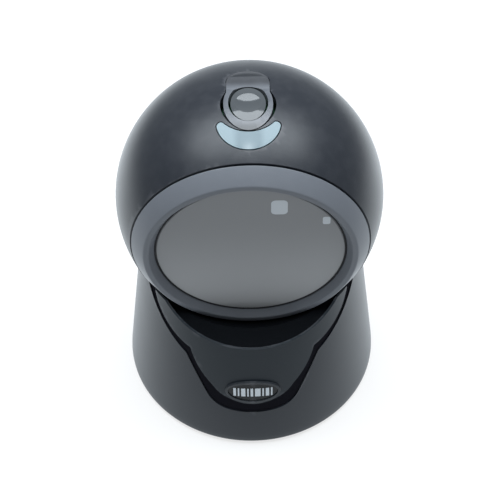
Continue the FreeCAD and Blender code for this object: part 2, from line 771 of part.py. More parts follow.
def make_crown():
    """Collar, press button with its reflector, switch, and the status lens over its board."""
    stretch_back = "(button_across + button_stretch)"
    band = less("collar_layer", ball("collar_out", "ball_radius"), ball("collar_in", "ball_radius - collar_depth"))
    shape = stretched_prism("collar_shape", "collar_across", "collar_rear", "-collar_front", "ball_height",
                            f"{TOP} + 5")
    well = oval_prism("collar_well", "button_across + button_gap", f"{stretch_back} + button_gap",
                      "ball_height", f"{TOP} + 5")
    scoop = turn(cylinder("collar_scoop", "14", "40", "Z"), (0, 1, 0), 90)
    put(scoop, "-20", "13", f"{TOP} + 11.4")
    thread = put(cylinder("collar_thread", "screw_radius + thread_gap", "switch_screw_length"), "0", "12.2",
                 f"{SWITCH_BOARD_TOP} - 1")
    under = box("collar_under", "40", "60", "20", "0", "-30", f"{SWITCH_BOARD_TOP} + 0.05 - 20")
    keep(less("button_collar", shared("collar_block", band, shape), well, scoop, thread, under), "button_collar")

    top = f"({TOP} + button_proud)"
    plug = oval_prism("button_shape", "button_across", stretch_back, f"{TOP} - 3.4", f"{TOP} + 5")
    dome = doc.addObject("Part::Sphere", "button_dome")
    set_sizes(dome, Radius="dome_radius")
    put(dome, high=f"{top} - dome_radius")
    dish = doc.addObject("Part::Sphere", "button_dish")
    set_sizes(dish, Radius="dish_radius")
    put(dish, high=f"{top} - dish_depth + dish_radius")
    disc = cylinder("reflector_recess", "button_across - 1.2", "1.2")
    put(disc, high=f"{TOP} - 3.4")
    keep(less("trigger_button", shared("button_block", plug, dome), dish, disc), "trigger_button")
    reflector = cylinder("button_reflector", "button_across - 1.35", "1.0")
    keep(put(reflector, high=f"{TOP} - 3.4"), "button_reflector")

    board_top = SWITCH_BOARD_TOP
    blank = box("switch_board_blank", "24", "32", "1.6", "0", "-17", f"{board_top} - 1.6")
    pass_hole = put(cylinder("switch_board_hole", "screw_radius + 0.2", "8"), "0", "12.2", f"{board_top} - 4")
    keep(less("switch_board", blank, pass_hole), "switch_board")
    bolt = put(screw("switch_screw", "switch_screw_length"), "0", "12.2", f"{board_top} - 1.6")
    keep(bolt, "switch_board_screw")
    case = box("switch_case", "6", "6", "2.0", "0", "-3", board_top)
    stem = cylinder("switch_stem", "1.6", f"{TOP} - 3.4 - button_travel - 0.35 - {board_top}")
    keep(joined("tact_switch", case, put(stem, high=board_top)), "tact_switch")

    lens_layer = less("lens_layer", ball("lens_out", "ball_radius"), ball("lens_in", "ball_radius - 3.2"))
    keep(shared("status_lens", lens_layer, lens_prism("lens_shape", "0")), "status_lens")
    lights = [box(f"status_led_{number}", "3", "2.8", "1.2", str(-6 + 6 * number), "-16.2", board_top)
              for number in range(3)]
    group("status_leds", lights)


def front_disc(name, radius, from_forward, thickness):
    """A disc square to the window's axis, its back face at a distance forwards."""
    disc = cylinder(name, radius, thickness, "Y")
    return put(disc, deep=f"-({from_forward})", high="ball_height")


def make_window():
    """Frame ring, its gasket and the window itself."""
    body = new_body("bezel_ring")
    profile = new_sketch("bezel_profile", "YZ_Plane", body)
    seam = "seam_forward + seam_gap"
    outer = f"sqrt(ball_radius^2 - ({seam})^2)"
    bore = f"({GLASS} + gasket_width + 0.05)"
    seat = "(glass_forward - glass_thickness - 0.05)"
    skirt = "(sqrt((ball_radius - shell_wall)^2 - seam_forward^2) - seam_gap)"
    centre = "ball_height"
    lip_y = "-lip_forward"
    outline(profile, [
        ("-skirt_back", f"{centre} + {skirt} - 2"),
        ("-skirt_back", f"{centre} + {skirt}"),
        (f"-({seam})", f"{centre} + {skirt}"),
        (f"-({seam})", f"{centre} + {outer}"),
        (lip_y, f"{centre} + {LIP}"),
        (f"{lip_y} + 0.4", f"{centre} + {LIP} - lip_width", f"{lip_y} - 0.3", f"{centre} + {LIP} - lip_width * 0.5"),
        (f"-(glass_forward + 0.1)", f"{centre} + {bore}"),
        (f"-{seat}", f"{centre} + {bore}"),
        (f"-{seat}", f"{centre} + {bore} - seat_width"),
        (f"-{seat} + 1", f"{centre} + {bore} - seat_width"),
        (f"-{seat} + 1", f"{centre} + {skirt} - 2"),
    ])
    ring = body.newObject("PartDesign::Revolution", "bezel_turned")
    axis = body.newObject("PartDesign::Line", "window_axis")
    axis.AttachmentSupport = []
    turn(axis, (1, 0, 0), 90)
    put(axis, high="ball_height")
    ring.Profile = profile
    ring.ReferenceAxis = (axis, [""])
    ring.Angle = 360
    doc.recompute()
    post_ring = f"({skirt} - 2.2)"
    for number, angle in enumerate((30, 150, 210, 330)):
        post = new_sketch(f"bezel_post_{number}", "XZ_Plane", body, CHASSIS_FRONT)
        circle(post, f"{post_ring} * cos({angle})", f"ball_height + {post_ring} * sin({angle})", "2.4")
        pad(body, post, f"{seat} - 0.5 - {CHASSIS_FRONT}")
        hole = new_sketch(f"bezel_hole_{number}", "XZ_Plane", body, f"{CHASSIS_FRONT} + 7")
        circle(hole, f"{post_ring} * cos({angle})", f"ball_height + {post_ring} * sin({angle})",
               "screw_radius + thread_gap")
        pocket(body, hole, "8")

    rubber = less("window_gasket", front_disc("gasket_out", f"{bore} - 0.05", seat, "glass_thickness + 0.05"),
                  front_disc("gasket_in", f"{GLASS} + 0.02", f"{seat} - 1", "glass_thickness + 3"))
    keep(rubber, "window_gasket")
    keep(front_disc("scan_window", GLASS, seat, "glass_thickness + 0.05"), "scan_window")
    return post_ring


def make_chassis(post_ring):
    """The plate across the ball that everything in the head is screwed to."""
    body = new_body("chassis")
    plate = new_sketch("chassis_plate", "XZ_Plane", body, "chassis_back")
    circle(plate, "0", "ball_height", CHASSIS)
    pad(body, plate, "chassis_thickness")
    notch = new_sketch("chassis_notch", "XZ_Plane", body, "chassis_back")
    half = "(post_radius + slot_margin + 1)"
    rectangle(notch, f"-{half}", half, f"ball_height - {CHASSIS} - 2", "ball_height - 8")
    pocket(body, notch, both=True)
    crown = new_sketch("chassis_crown", "XZ_Plane", body, "chassis_back")
    rectangle(crown, "-13.5", "13.5", f"{SWITCH_BOARD_TOP} - 2.2", f"{TOP} + 2")
    pocket(body, crown, both=True)
    for number, (side, level) in enumerate(FORK_SCREWS):
        pilot = new_sketch(f"fork_pilot_{number}", "XZ_Plane", body, "chassis_back")
        circle(pilot, f"{side} * ({EAR_IN} + ear_thickness + 4.2)", f"ball_height + {level}", "screw_radius + thread_gap")
        pocket(body, pilot, both=True)
    tower_ring = f"({CHASSIS} - boss_inset)"
    spots = [(tower_ring, angle) for angle in (40, 140, 220, 320)]
    spots += [(post_ring, angle) for angle in (30, 150, 210, 330)]
    for number, (ring, angle) in enumerate(spots):
        hole = new_sketch(f"chassis_hole_{number}", "XZ_Plane", body, "chassis_back")
        circle(hole, f"{ring} * cos({angle})", f"ball_height + {ring} * sin({angle})", "screw_radius + screw_gap")
        pocket(body, hole, both=True)
    for number, (side, level) in enumerate(((-1, -1), (1, -1), (-1, 1), (1, 1))):
        rest = new_sketch(f"board_standoff_{number}", "XZ_Plane", body, CHASSIS_FRONT)
        circle(rest, f"{side} * (board_across / 2 - 3)", f"ball_height + 2 + {level} * (board_tall / 2 - 3)", "2.4")
        pad(body, rest, "standoff")
        hole = new_sketch(f"standoff_hole_{number}", "XZ_Plane", body, BOARD_BACK)
        circle(hole, f"{side} * (board_across / 2 - 3)", f"ball_height + 2 + {level} * (board_tall / 2 - 3)",
               "screw_radius + thread_gap")
        pocket(body, hole, "standoff + 1.5")

    tower_bolts = []
    for angle in (40, 140, 220, 320):
        bolt = screw(f"shell_screw_{angle}", "10")
        turn(bolt, (1, 0, 0), -90)
        tower_bolts.append(put(bolt, f"{tower_ring} * cos({angle})", f"-{CHASSIS_FRONT}",
                               f"ball_height + {tower_ring} * sin({angle})"))
    group("shell_screws", tower_bolts)
    ring_bolts = []
    for angle in (30, 150, 210, 330):
        bolt = screw(f"bezel_screw_{angle}", "8", axis="Y")
        ring_bolts.append(put(bolt, f"{post_ring} * cos({angle})", "-chassis_back",
                              f"ball_height + {post_ring} * sin({angle})"))
    group("bezel_screws", ring_bolts)


def make_electronics():
    """Main board with its chips, buzzer, lamps and the camera behind the window."""
    board = box("board_blank", "board_across", "board_thickness", "board_tall", "0", f"-{BOARD_FRONT}",
                "ball_height + 2 - board_tall / 2")
    bolts = []
    holes = []
    for number, (side, level) in enumerate(((-1, -1), (1, -1), (-1, 1), (1, 1))):
        across = f"{side} * (board_across / 2 - 3)"
        up = f"ball_height + 2 + {level} * (board_tall / 2 - 3)"
        bolt = turn(screw(f"board_screw_{number}", "board_thickness + 2.6", "2.2", "1.2"), (1, 0, 0), -90)
        bolts.append(put(bolt, across, f"-{BOARD_FRONT}", up))
        hole = cylinder(f"board_hole_{number}", "screw_radius + 0.15", "10", "Y")
        holes.append(put(hole, across, f"-{BOARD_BACK} + 3", up))
    keep(less("main_board", board, *holes), "main_board")
    group("board_screws", bolts)

    chips = []
    for number, (across, tall, x, z) in enumerate(((11, 11, -13, 10), (8, 6, 13, 13), (6, 8, 15, -1),
                                                   (5, 4, -15, -3), (12, 5, 0, -14))):
        chips.append(box(f"chip_{number}", str(across), "1.2", str(tall), str(x), f"-{BOARD_FRONT} - 1.2",
                         f"ball_height + {z - tall / 2}"))
    group("board_chips", chips)
    lamps = []
    for side in (-1, 1):
        for level in (-11.5, 19):
            lamps.append(box(f"lamp_{side + 1}_{level}".replace(".", "_"), "3.5", "1.2", "3.5", str(14 * side),
                             f"-{BOARD_FRONT} - 1.2", f"ball_height + {level - 1.75}"))
    group("illumination_leds", lamps)
    buzzer = cylinder("buzzer", "4.5", "3.6", "Y")
    keep(put(buzzer, "0", f"-{BOARD_FRONT}", "ball_height + 14.5"), "buzzer")

    housing = box("camera_housing", "13", "3.4", "13", "0", f"-{BOARD_FRONT} - 3.4", "ball_height - 6.5")
    keep(housing, "camera_housing")
    barrel_front = f"({BOARD_FRONT} + 3.4)"
    tube = front_disc("barrel_tube", "4.4", barrel_front, "2.9")
    bore = front_disc("barrel_bore", "3.4", f"{barrel_front} + 1.9", "2")
    keep(less("lens_barrel", tube, bore), "lens_barrel")
    keep(front_disc("camera_lens", "3.38", f"{barrel_front} + 1.9", "0.8"), "camera_lens")

    shroud_back = "(glass_forward - glass_thickness - 1.05 - fit_gap - 0.9)"
    shroud = front_disc("shroud_disc", f"{GLASS} - 0.4", shroud_back, "0.9")
    openings = [front_disc("shroud_eye", "4.8", f"{shroud_back} - 1", "3")]
    for side in (-1, 1):
        for level in (-11.5, 19):
            openings.append(box(f"shroud_gap_{side + 1}_{level}".replace(".", "_"), "6", "4", "6", str(14 * side),
                                f"-{shroud_back} - 2", f"ball_height + {level - 3}"))
    keep(less("light_shroud", shroud, *openings), "light_shroud")


def make_tilt_joint():
    """Steel fork on the chassis, pin, friction washers and retaining ring."""
    web = box("fork_web", f"2 * {EAR_IN} + 2 * ear_thickness + 16", "ear_thickness", "22", "0", "-chassis_back",
              "ball_height - 7")
    ears = []
    for side in (-1, 1):
        ears.append(box(f"fork_ear_{side + 1}", "ear_thickness", "chassis_back + 6", "14",
                        f"{side} * ({EAR_IN} + ear_thickness / 2)", "-chassis_back", "ball_height - 7"))
    clear = "2 * (post_radius + slot_margin)"
    arch = box("fork_arch", clear, "4 * ear_thickness", "8", "0", "-chassis_back - ear_thickness",
               "ball_height - 9")
    bore = put(cylinder("fork_bore", "pin_radius + thread_gap", "60", "X"), "-30", "0", "ball_height")
    holes = []
    bolts = []
    for number, (side, level) in enumerate(FORK_SCREWS):
        across = f"{side} * ({EAR_IN} + ear_thickness + 4.2)"
        hole = cylinder(f"fork_hole_{number}", "screw_radius + 0.2", "10", "Y")
        holes.append(put(hole, across, "5 - chassis_back", f"ball_height + {level}"))
        bolt = screw(f"fork_screw_{number}", "ear_thickness + 2.2", "2.4", "1.2", "Y")
        bolts.append(put(bolt, across, "ear_thickness - chassis_back", f"ball_height + {level}"))
    keep(less("tilt_bracket", joined("fork_block", web, *ears), arch, bore, *holes), "tilt_bracket")
    group("bracket_screws", bolts)
    shaft = put(cylinder("pin_shaft", "pin_radius", f"2 * {EAR_IN} + 2 * ear_thickness + 2.4", "X"),
                f"-{EAR_IN} - ear_thickness - 2.4", "0", "ball_height")
    head = put(cylinder("pin_head", "pin_radius + 1.8", "1.4", "X"), f"{EAR_IN} + ear_thickness", "0", "ball_height")
    keep(joined("pivot_pin", shaft, head), "pivot_pin")
    clip = put(cylinder("clip_disc", "pin_radius + 1.5", "0.8", "X"), f"-{EAR_IN} - ear_thickness - 0.85", "0",
               "ball_height")
    clip_bore = put(cylinder("clip_bore", "pin_radius + 0.01", "4", "X"), f"-{EAR_IN} - ear_thickness - 2", "0",
                    "ball_height")
    keep(less("retaining_ring", clip, clip_bore), "retaining_ring")
    washers = []
    for side in (-1, 1):
        start = "hub_length / 2 + 0.1" if side > 0 else f"-{EAR_IN}"
        disc = put(cylinder(f"washer_disc_{side + 1}", "hub_radius - 0.4", "washer_thickness", "X"), start, "0",
                   "ball_height")
        hole = put(cylinder(f"washer_hole_{side + 1}", "pin_radius + 0.02", "8", "X"), f"{start} - 3", "0",
                   "ball_height")
        washers.append(less(f"washer_{side + 1}", disc, hole))
    group("friction_washers", washers)


def check_and_write():
    """Stop on any failed object or shape, then write one file for each piece."""
    doc.recompute()
    for thing in doc.Objects:
        if "Invalid" in thing.State or "Error" in thing.State:
            raise RuntimeError(f"{thing.Name}: {thing.State}")
    os.makedirs("parts", exist_ok=True)
    for thing in kept:
        shape = thing.Shape
        if shape.isNull() or not shape.isValid() or not shape.Solids:
            raise RuntimeError(f"{thing.Label}: bad shape")
        shape.exportStep(f"parts/{thing.Label}.step")
        print(f"{thing.Label}: {len(shape.Solids)} solids, {shape.Volume:.0f} mm3")


make_base_shell()
make_front()
make_cradle()
make_post()
make_bottom()
make_socket()
make_shell("head_upper_shell", True)
make_shell("head_lower_shell", False)
make_crown()
make_chassis(make_window())
make_electronics()
make_tilt_joint()
check_and_write()
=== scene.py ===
# Presentation scanner: ball head with a round window, tilting in a flared cup base.
import math
import bpy
from mathutils import Matrix, Vector
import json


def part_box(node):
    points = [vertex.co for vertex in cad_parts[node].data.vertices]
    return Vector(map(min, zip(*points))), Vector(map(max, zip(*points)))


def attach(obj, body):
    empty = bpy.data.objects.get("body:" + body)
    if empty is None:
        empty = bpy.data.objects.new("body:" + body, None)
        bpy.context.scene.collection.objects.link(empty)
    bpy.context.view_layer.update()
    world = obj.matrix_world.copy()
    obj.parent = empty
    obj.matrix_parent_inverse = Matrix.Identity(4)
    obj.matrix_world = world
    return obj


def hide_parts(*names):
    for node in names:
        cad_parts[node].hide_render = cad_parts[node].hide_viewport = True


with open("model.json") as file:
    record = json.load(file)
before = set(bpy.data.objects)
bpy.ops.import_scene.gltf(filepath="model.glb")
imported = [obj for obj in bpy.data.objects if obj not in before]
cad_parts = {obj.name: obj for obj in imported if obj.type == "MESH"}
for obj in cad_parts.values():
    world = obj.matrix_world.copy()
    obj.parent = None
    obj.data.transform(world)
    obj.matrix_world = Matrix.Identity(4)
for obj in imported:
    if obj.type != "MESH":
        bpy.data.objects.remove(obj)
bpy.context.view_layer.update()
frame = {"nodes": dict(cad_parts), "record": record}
mm = 0.001
print("frame loaded")

# places taken from the frame
nodes = frame["nodes"]
pivot = Vector(frame["record"]["behaviour"]["joints"][0]["pos_m"])
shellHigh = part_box("head_upper_shell")[1]
ballRadius = shellHigh.x
ballHeight = pivot.z
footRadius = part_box("base_shell")[1].x
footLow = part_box("base_shell")[0].z
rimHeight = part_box("base_shell")[1].z
lipReach = -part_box("bezel_ring")[0].y
glassFront = -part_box("scan_window")[0].y
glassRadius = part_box("scan_window")[1].x
seamReach = -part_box("head_upper_shell")[0].y

shellWall = 2.4 * mm
baseWall = 2.4 * mm
cupRadius = ballRadius + 0.5 * mm
skirtHeight = 2.0 * mm
rimEdge = 0.8 * mm
rimRadius = math.sqrt(cupRadius ** 2 - (ballHeight - rimHeight) ** 2) + rimEdge

# how far the cutting tools reach: through the front half, from side to side, and up from the ball's middle
frontCut = ("front", -0.08, 0)
sideCut = ("side", -0.1, 0.1)
topCut = ("top", ballHeight, 0.2)
slabReach = 0.06
sharpAngle = 38


def flareAt(height):
    fall = (footRadius - rimRadius) / (rimHeight - skirtHeight)
    return footRadius - fall * (height - skirtHeight)


def clearSelection():
    if bpy.context.object and bpy.context.object.mode != "OBJECT":
        bpy.ops.object.mode_set(mode="OBJECT")
    bpy.ops.object.select_all(action="DESELECT")


def pick(piece):
    clearSelection()
    piece.select_set(True)
    bpy.context.view_layer.objects.active = piece


def useModifiers(piece):
    pick(piece)
    for modifier in list(piece.modifiers):
        bpy.ops.object.modifier_apply(modifier=modifier.name)


def settle(piece):
    pick(piece)
    bpy.ops.object.transform_apply(location=True, rotation=True, scale=True)


def nameIt(piece, name):
    piece.name = name
    piece.data.name = name
    return piece


def smoothed(piece, angle=35):
    pick(piece)
    bpy.ops.object.shade_smooth_by_angle(angle=math.radians(angle))
    return piece


def edgeEase(piece, width, segments=2, angle=30, smooth=35):
    # round the sharp edges, with the faces beside them keeping their own shading
    smoothed(piece, smooth)
    modifier = piece.modifiers.new("ease", "BEVEL")
    modifier.width = width
    modifier.segments = segments
    modifier.limit_method = "ANGLE"
    modifier.angle_limit = math.radians(angle)
    modifier.harden_normals = True
    useModifiers(piece)


def carve(piece, tool, operation="DIFFERENCE"):
    modifier = piece.modifiers.new("carve", "BOOLEAN")
    modifier.operation = operation
    modifier.solver = "EXACT"
    modifier.object = tool
    useModifiers(piece)
    bpy.data.objects.remove(tool)


def copied(piece, name):
    twin = piece.copy()
    twin.data = piece.data.copy()
    bpy.context.scene.collection.objects.link(twin)
    return nameIt(twin, name)


def joinAll(pieces, name):
    clearSelection()
    for piece in pieces:
        piece.select_set(True)
    bpy.context.view_layer.objects.active = pieces[0]
    bpy.ops.object.join()
    return nameIt(bpy.context.object, name)


def roundedPath(corners, steps=5):
    # corners are (x, y, radius); each radius becomes a run of points on its arc
    path = []
    for index, (x, y, radius) in enumerate(corners):
        here = Vector((x, y))
        if radius <= 0:
            path.append(here)
            continue
        before = (Vector(corners[index - 1][:2]) - here).normalized()
        after = (Vector(corners[(index + 1) % len(corners)][:2]) - here).normalized()
        halfTurn = before.angle(after) / 2
        reach = radius / math.tan(halfTurn)
        centre = here + (before + after).normalized() * radius / math.sin(halfTurn)
        start = here + before * reach - centre
        finish = here + after * reach - centre
        sweep = start.angle_signed(finish)
        for step in range(steps + 1):
            path.append(centre + Matrix.Rotation(-sweep * step / steps, 2) @ start)
    return path


def arcThrough(start, middle, finish, steps):
    # points on the circle through three points, without the first
    ax, ay = start
    bx, by = middle
    cx, cy = finish
    det = 2 * (ax * (by - cy) + bx * (cy - ay) + cx * (ay - by))
    aa, bb, cc = ax ** 2 + ay ** 2, bx ** 2 + by ** 2, cx ** 2 + cy ** 2
    ox = (aa * (by - cy) + bb * (cy - ay) + cc * (ay - by)) / det
    oy = (aa * (cx - bx) + bb * (ax - cx) + cc * (bx - ax)) / det
    centre = Vector((ox, oy))
    first = Vector(start) - centre
    last = Vector(finish) - centre
    sweep = first.angle_signed(last)
    if first.angle_signed(Vector(middle) - centre) * sweep < 0:
        sweep -= math.copysign(2 * math.pi, sweep)
    return [centre + Matrix.Rotation(-sweep * step / steps, 2) @ first for step in range(1, steps + 1)]


def oval(half, long, middle, steps=72):
    # an oval about the point (0, middle)
    turns = [2 * math.pi * step / steps for step in range(steps)]
    return [Vector((half * math.cos(turn), middle + long * math.sin(turn))) for turn in turns]


def tracedLoop(places):
    # a closed loop of edges drawn point by point; left in edit mode, all selected
    clearSelection()
    bpy.ops.mesh.primitive_plane_add(size=2 * mm, location=(0, 0, 0))
    bpy.ops.object.mode_set(mode="EDIT")
    bpy.ops.mesh.merge(type="CENTER")
    bpy.ops.transform.translate(value=places[0])
    for before, after in zip(places, places[1:]):
        bpy.ops.mesh.extrude_region_move(TRANSFORM_OT_translate={"value": after - before})
    bpy.ops.mesh.extrude_region_move(TRANSFORM_OT_translate={"value": places[0] - places[-1]})
    bpy.ops.mesh.select_all(action="SELECT")
    bpy.ops.mesh.remove_doubles(threshold=1e-7)
    return bpy.context.object


def turned(name, path, steps=192, window=False):
    # a ring spun from (radius, height) points about Z, or (radius, reach) about the window's axis
    if window:
        places = [Vector((radius, -reach, ballHeight)) for radius, reach in path]
        axis, centre = (0, 1, 0), (0, 0, ballHeight)
    else:
        places = [Vector((radius, 0, height)) for radius, height in path]
        axis, centre = (0, 0, 1), (0, 0, 0)
    piece = tracedLoop(places)
    bpy.ops.mesh.spin(steps=steps, angle=2 * math.pi, center=centre, axis=axis)
    bpy.ops.mesh.select_all(action="SELECT")
    bpy.ops.mesh.remove_doubles(threshold=1e-7)
    bpy.ops.mesh.normals_make_consistent(inside=False)
    bpy.ops.object.mode_set(mode="OBJECT")
    return nameIt(piece, name)


def prism(name, path, plane, low, high):
    # an outline pushed through: plane "front" is (x, z) along Y, "side" (y, z) along X, "top" (x, y) along Z
    place = {"front": lambda x, y, n: Vector((x, n, y)), "side": lambda x, y, n: Vector((n, x, y)),
             "top": lambda x, y, n: Vector((x, y, n))}[plane]
    piece = tracedLoop([place(x, y, low) for x, y in path])
    bpy.ops.mesh.edge_face_add()
    push = place(0, 0, high) - place(0, 0, low)
    bpy.ops.mesh.extrude_region_move(TRANSFORM_OT_translate={"value": push})
    bpy.ops.mesh.select_all(action="SELECT")
    bpy.ops.mesh.normals_make_consistent(inside=False)
    bpy.ops.object.mode_set(mode="OBJECT")
    return nameIt(piece, name)


def ballSolid(name, radius, centre=None, segments=192, rings=96):
    clearSelection()
    bpy.ops.mesh.primitive_uv_sphere_add(segments=segments, ring_count=rings, radius=radius,
                                         location=centre or (0, 0, ballHeight))
    piece = bpy.context.object
    settle(piece)
    return nameIt(piece, name)


def finished(piece, body, material, slotName, *cadNodes):
    piece.data.materials.clear()
    piece.data.materials.append(material)
    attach(piece, body)
    if cadNodes:
        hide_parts(*cadNodes)


def tone(red, green, blue):
    # a display colour, 0 to 255, as a linear one
    return tuple(((c / 255 + 0.055) / 1.055) ** 2.4 if c > 10.3 else c / 255 / 12.92
                 for c in (red, green, blue)) + (1,)


def newGroup(name, inputs, outputs):
    group = bpy.data.node_groups.new(name, "ShaderNodeTree")
    for label, kind, value in inputs:
        socket = group.interface.new_socket(name=label, in_out="INPUT", socket_type=kind)
        socket.default_value = value
    for label, kind in outputs:
        group.interface.new_socket(name=label, in_out="OUTPUT", socket_type=kind)
    return group, group.nodes.new("NodeGroupInput"), group.nodes.new("NodeGroupOutput")


def makeGrainGroup():
    # fine moulded texture: a height for the bump and a slow blotch for the gloss
    group, inlet, outlet = newGroup("mouldGrain", [
        ("Grain Size", "NodeSocketFloat", 2200.0), ("Blotch Size", "NodeSocketFloat", 40.0),
        ("Gloss", "NodeSocketFloat", 0.4), ("Gloss Spread", "NodeSocketFloat", 0.06)],
        [("Height", "NodeSocketFloat"), ("Roughness", "NodeSocketFloat"), ("Blotch", "NodeSocketFloat")])
    link = group.links.new
    place = group.nodes.new("ShaderNodeTexCoord")
    grain = group.nodes.new("ShaderNodeTexVoronoi")
    grain.distance = "EUCLIDEAN"
    fine = group.nodes.new("ShaderNodeTexNoise")
    fine.inputs["Detail"].default_value = 2.0
    both = group.nodes.new("ShaderNodeMath")
    both.operation = "MULTIPLY_ADD"
    both.inputs[1].default_value = 0.5
    blotch = group.nodes.new("ShaderNodeTexNoise")
    blotch.inputs["Detail"].default_value = 5.0
    blotch.inputs["Roughness"].default_value = 0.6
    centred = group.nodes.new("ShaderNodeMath")
    centred.operation = "SUBTRACT"
    centred.inputs[1].default_value = 0.5
    gloss = group.nodes.new("ShaderNodeMath")
    gloss.operation = "MULTIPLY_ADD"
    for texture in (grain, fine, blotch):
        link(place.outputs["Object"], texture.inputs["Vector"])
    link(inlet.outputs["Grain Size"], grain.inputs["Scale"])
    link(inlet.outputs["Grain Size"], fine.inputs["Scale"])
    link(inlet.outputs["Blotch Size"], blotch.inputs["Scale"])
    link(grain.outputs["Distance"], both.inputs[0])
    link(fine.outputs["Fac"], both.inputs[2])
    link(both.outputs[0], outlet.inputs["Height"])
    link(blotch.outputs["Fac"], centred.inputs[0])
    link(centred.outputs[0], gloss.inputs[0])
    link(inlet.outputs["Gloss Spread"], gloss.inputs[1])
    link(inlet.outputs["Gloss"], gloss.inputs[2])
    link(gloss.outputs[0], outlet.inputs["Roughness"])
    link(blotch.outputs["Fac"], outlet.inputs["Blotch"])
    return group


def makeDustAndSheenGroup():
    # thin dust that settles on what faces up, and a little lightening on sharp edges: partly wear, partly
    # painted edge sheen
    group, inlet, outlet = newGroup("settledDust", [
        ("Colour", "NodeSocketColor", (0.03, 0.03, 0.04, 1)),
        ("Dust And Sheen Colour", "NodeSocketColor", (0.3, 0.3, 0.32, 1)),
        ("Dust", "NodeSocketFloat", 0.02), ("Wear And Sheen", "NodeSocketFloat", 0.1)],
        [("Colour", "NodeSocketColor"), ("Mask", "NodeSocketFloat")])
    link = group.links.new
    place = group.nodes.new("ShaderNodeTexCoord")
    facing = group.nodes.new("ShaderNodeNewGeometry")
    split = group.nodes.new("ShaderNodeSeparateXYZ")
    upward = group.nodes.new("ShaderNodeMapRange")
    upward.inputs["From Min"].default_value = 0.1
    upward.inputs["From Max"].default_value = 1.0
    speck = group.nodes.new("ShaderNodeTexNoise")
    speck.inputs["Scale"].default_value = 260.0
    speck.inputs["Detail"].default_value = 6.0
    patch = group.nodes.new("ShaderNodeMapRange")
    patch.inputs["From Min"].default_value = 0.42
    patch.inputs["From Max"].default_value = 0.75
    dusty = group.nodes.new("ShaderNodeMath")
    dusty.operation = "MULTIPLY"
    amount = group.nodes.new("ShaderNodeMath")
    amount.operation = "MULTIPLY"
    # sharp edges found by pointiness are lightened: partly wear, partly painted edge sheen
    sharpEdge = group.nodes.new("ShaderNodeMapRange")
    sharpEdge.inputs["From Min"].default_value = 0.52
    sharpEdge.inputs["From Max"].default_value = 0.62
    edgeWearSheen = group.nodes.new("ShaderNodeMath")
    edgeWearSheen.operation = "MULTIPLY"
    total = group.nodes.new("ShaderNodeMath")
    total.operation = "ADD"
    total.use_clamp = True
    blend = group.nodes.new("ShaderNodeMix")
    blend.data_type = "RGBA"
    link(place.outputs["Object"], speck.inputs["Vector"])
    link(facing.outputs["Normal"], split.inputs[0])
    link(split.outputs["Z"], upward.inputs["Value"])
    link(speck.outputs["Fac"], patch.inputs["Value"])
    link(upward.outputs[0], dusty.inputs[0])
    link(patch.outputs[0], dusty.inputs[1])
    link(dusty.outputs[0], amount.inputs[0])
    link(inlet.outputs["Dust"], amount.inputs[1])
    link(facing.outputs["Pointiness"], sharpEdge.inputs["Value"])
    link(sharpEdge.outputs[0], edgeWearSheen.inputs[0])
    link(inlet.outputs["Wear And Sheen"], edgeWearSheen.inputs[1])
    link(amount.outputs[0], total.inputs[0])
    link(edgeWearSheen.outputs[0], total.inputs[1])
    link(total.outputs[0], blend.inputs["Factor"])
    link(inlet.outputs["Colour"], blend.inputs["A"])
    link(inlet.outputs["Dust And Sheen Colour"], blend.inputs["B"])
    link(blend.outputs["Result"], outlet.inputs["Colour"])
    link(total.outputs[0], outlet.inputs["Mask"])
    return group


mouldGrain = makeGrainGroup()
settledDust = makeDustAndSheenGroup()


def moulded(name, colour, gloss=0.4, spread=0.06, grainSize=2200.0, grainDepth=0.15, level=0.35, dust=0.03,
            wearAndSheen=0.08, coat=0.0, coatGloss=0.1, metallic=0.0):
    # moulded plastic, rubber or plated metal: grain in the bump, slow gloss blotches, dust, and sharp edges
    # lightened as wear and painted sheen
    material = bpy.data.materials.new(name)
    material.use_nodes = True
    tree = material.node_tree
    shader = tree.nodes["Principled BSDF"]
    link = tree.links.new
    grain = tree.nodes.new("ShaderNodeGroup")
    grain.node_tree = mouldGrain
    grain.inputs["Grain Size"].default_value = grainSize
    grain.inputs["Gloss"].default_value = gloss
    grain.inputs["Gloss Spread"].default_value = spread
    veil = tree.nodes.new("ShaderNodeGroup")
    veil.node_tree = settledDust
    veil.inputs["Colour"].default_value = colour
    veil.inputs["Dust"].default_value = dust
    veil.inputs["Wear And Sheen"].default_value = wearAndSheen
    bump = tree.nodes.new("ShaderNodeBump")
    bump.inputs["Strength"].default_value = grainDepth
    bump.inputs["Distance"].default_value = 0.0001
    link(grain.outputs["Height"], bump.inputs["Height"])
    link(grain.outputs["Roughness"], shader.inputs["Roughness"])
    link(veil.outputs["Colour"], shader.inputs["Base Color"])
    link(bump.outputs["Normal"], shader.inputs["Normal"])
    shader.inputs["Specular IOR Level"].default_value = level
    shader.inputs["Metallic"].default_value = metallic
    shader.inputs["Coat Weight"].default_value = coat
    shader.inputs["Coat Roughness"].default_value = coatGloss
    return material


def graded(material, high, axis, start, end):
    # the colour drifts from its own to high along one axis, the same on both sides of zero
    tree = material.node_tree
    veil = next(node for node in tree.nodes if node.type == "GROUP" and "Dust" in node.inputs)
    link = tree.links.new
    place = tree.nodes.new("ShaderNodeTexCoord")
    split = tree.nodes.new("ShaderNodeSeparateXYZ")
    size = tree.nodes.new("ShaderNodeMath")
    size.operation = "ABSOLUTE"
    reach = tree.nodes.new("ShaderNodeMapRange")
    reach.interpolation_type = "SMOOTHSTEP"
    reach.inputs["From Min"].default_value = start
    reach.inputs["From Max"].default_value = end
    mix = tree.nodes.new("ShaderNodeMix")
    mix.data_type = "RGBA"
    mix.inputs["A"].default_value = veil.inputs["Colour"].default_value
    mix.inputs["B"].default_value = high
    link(place.outputs["Object"], split.inputs[0])
    link(split.outputs[axis], size.inputs[0])
    link(size.outputs[0], reach.inputs["Value"])
    link(reach.outputs[0], mix.inputs["Factor"])
    link(mix.outputs["Result"], veil.inputs["Colour"])


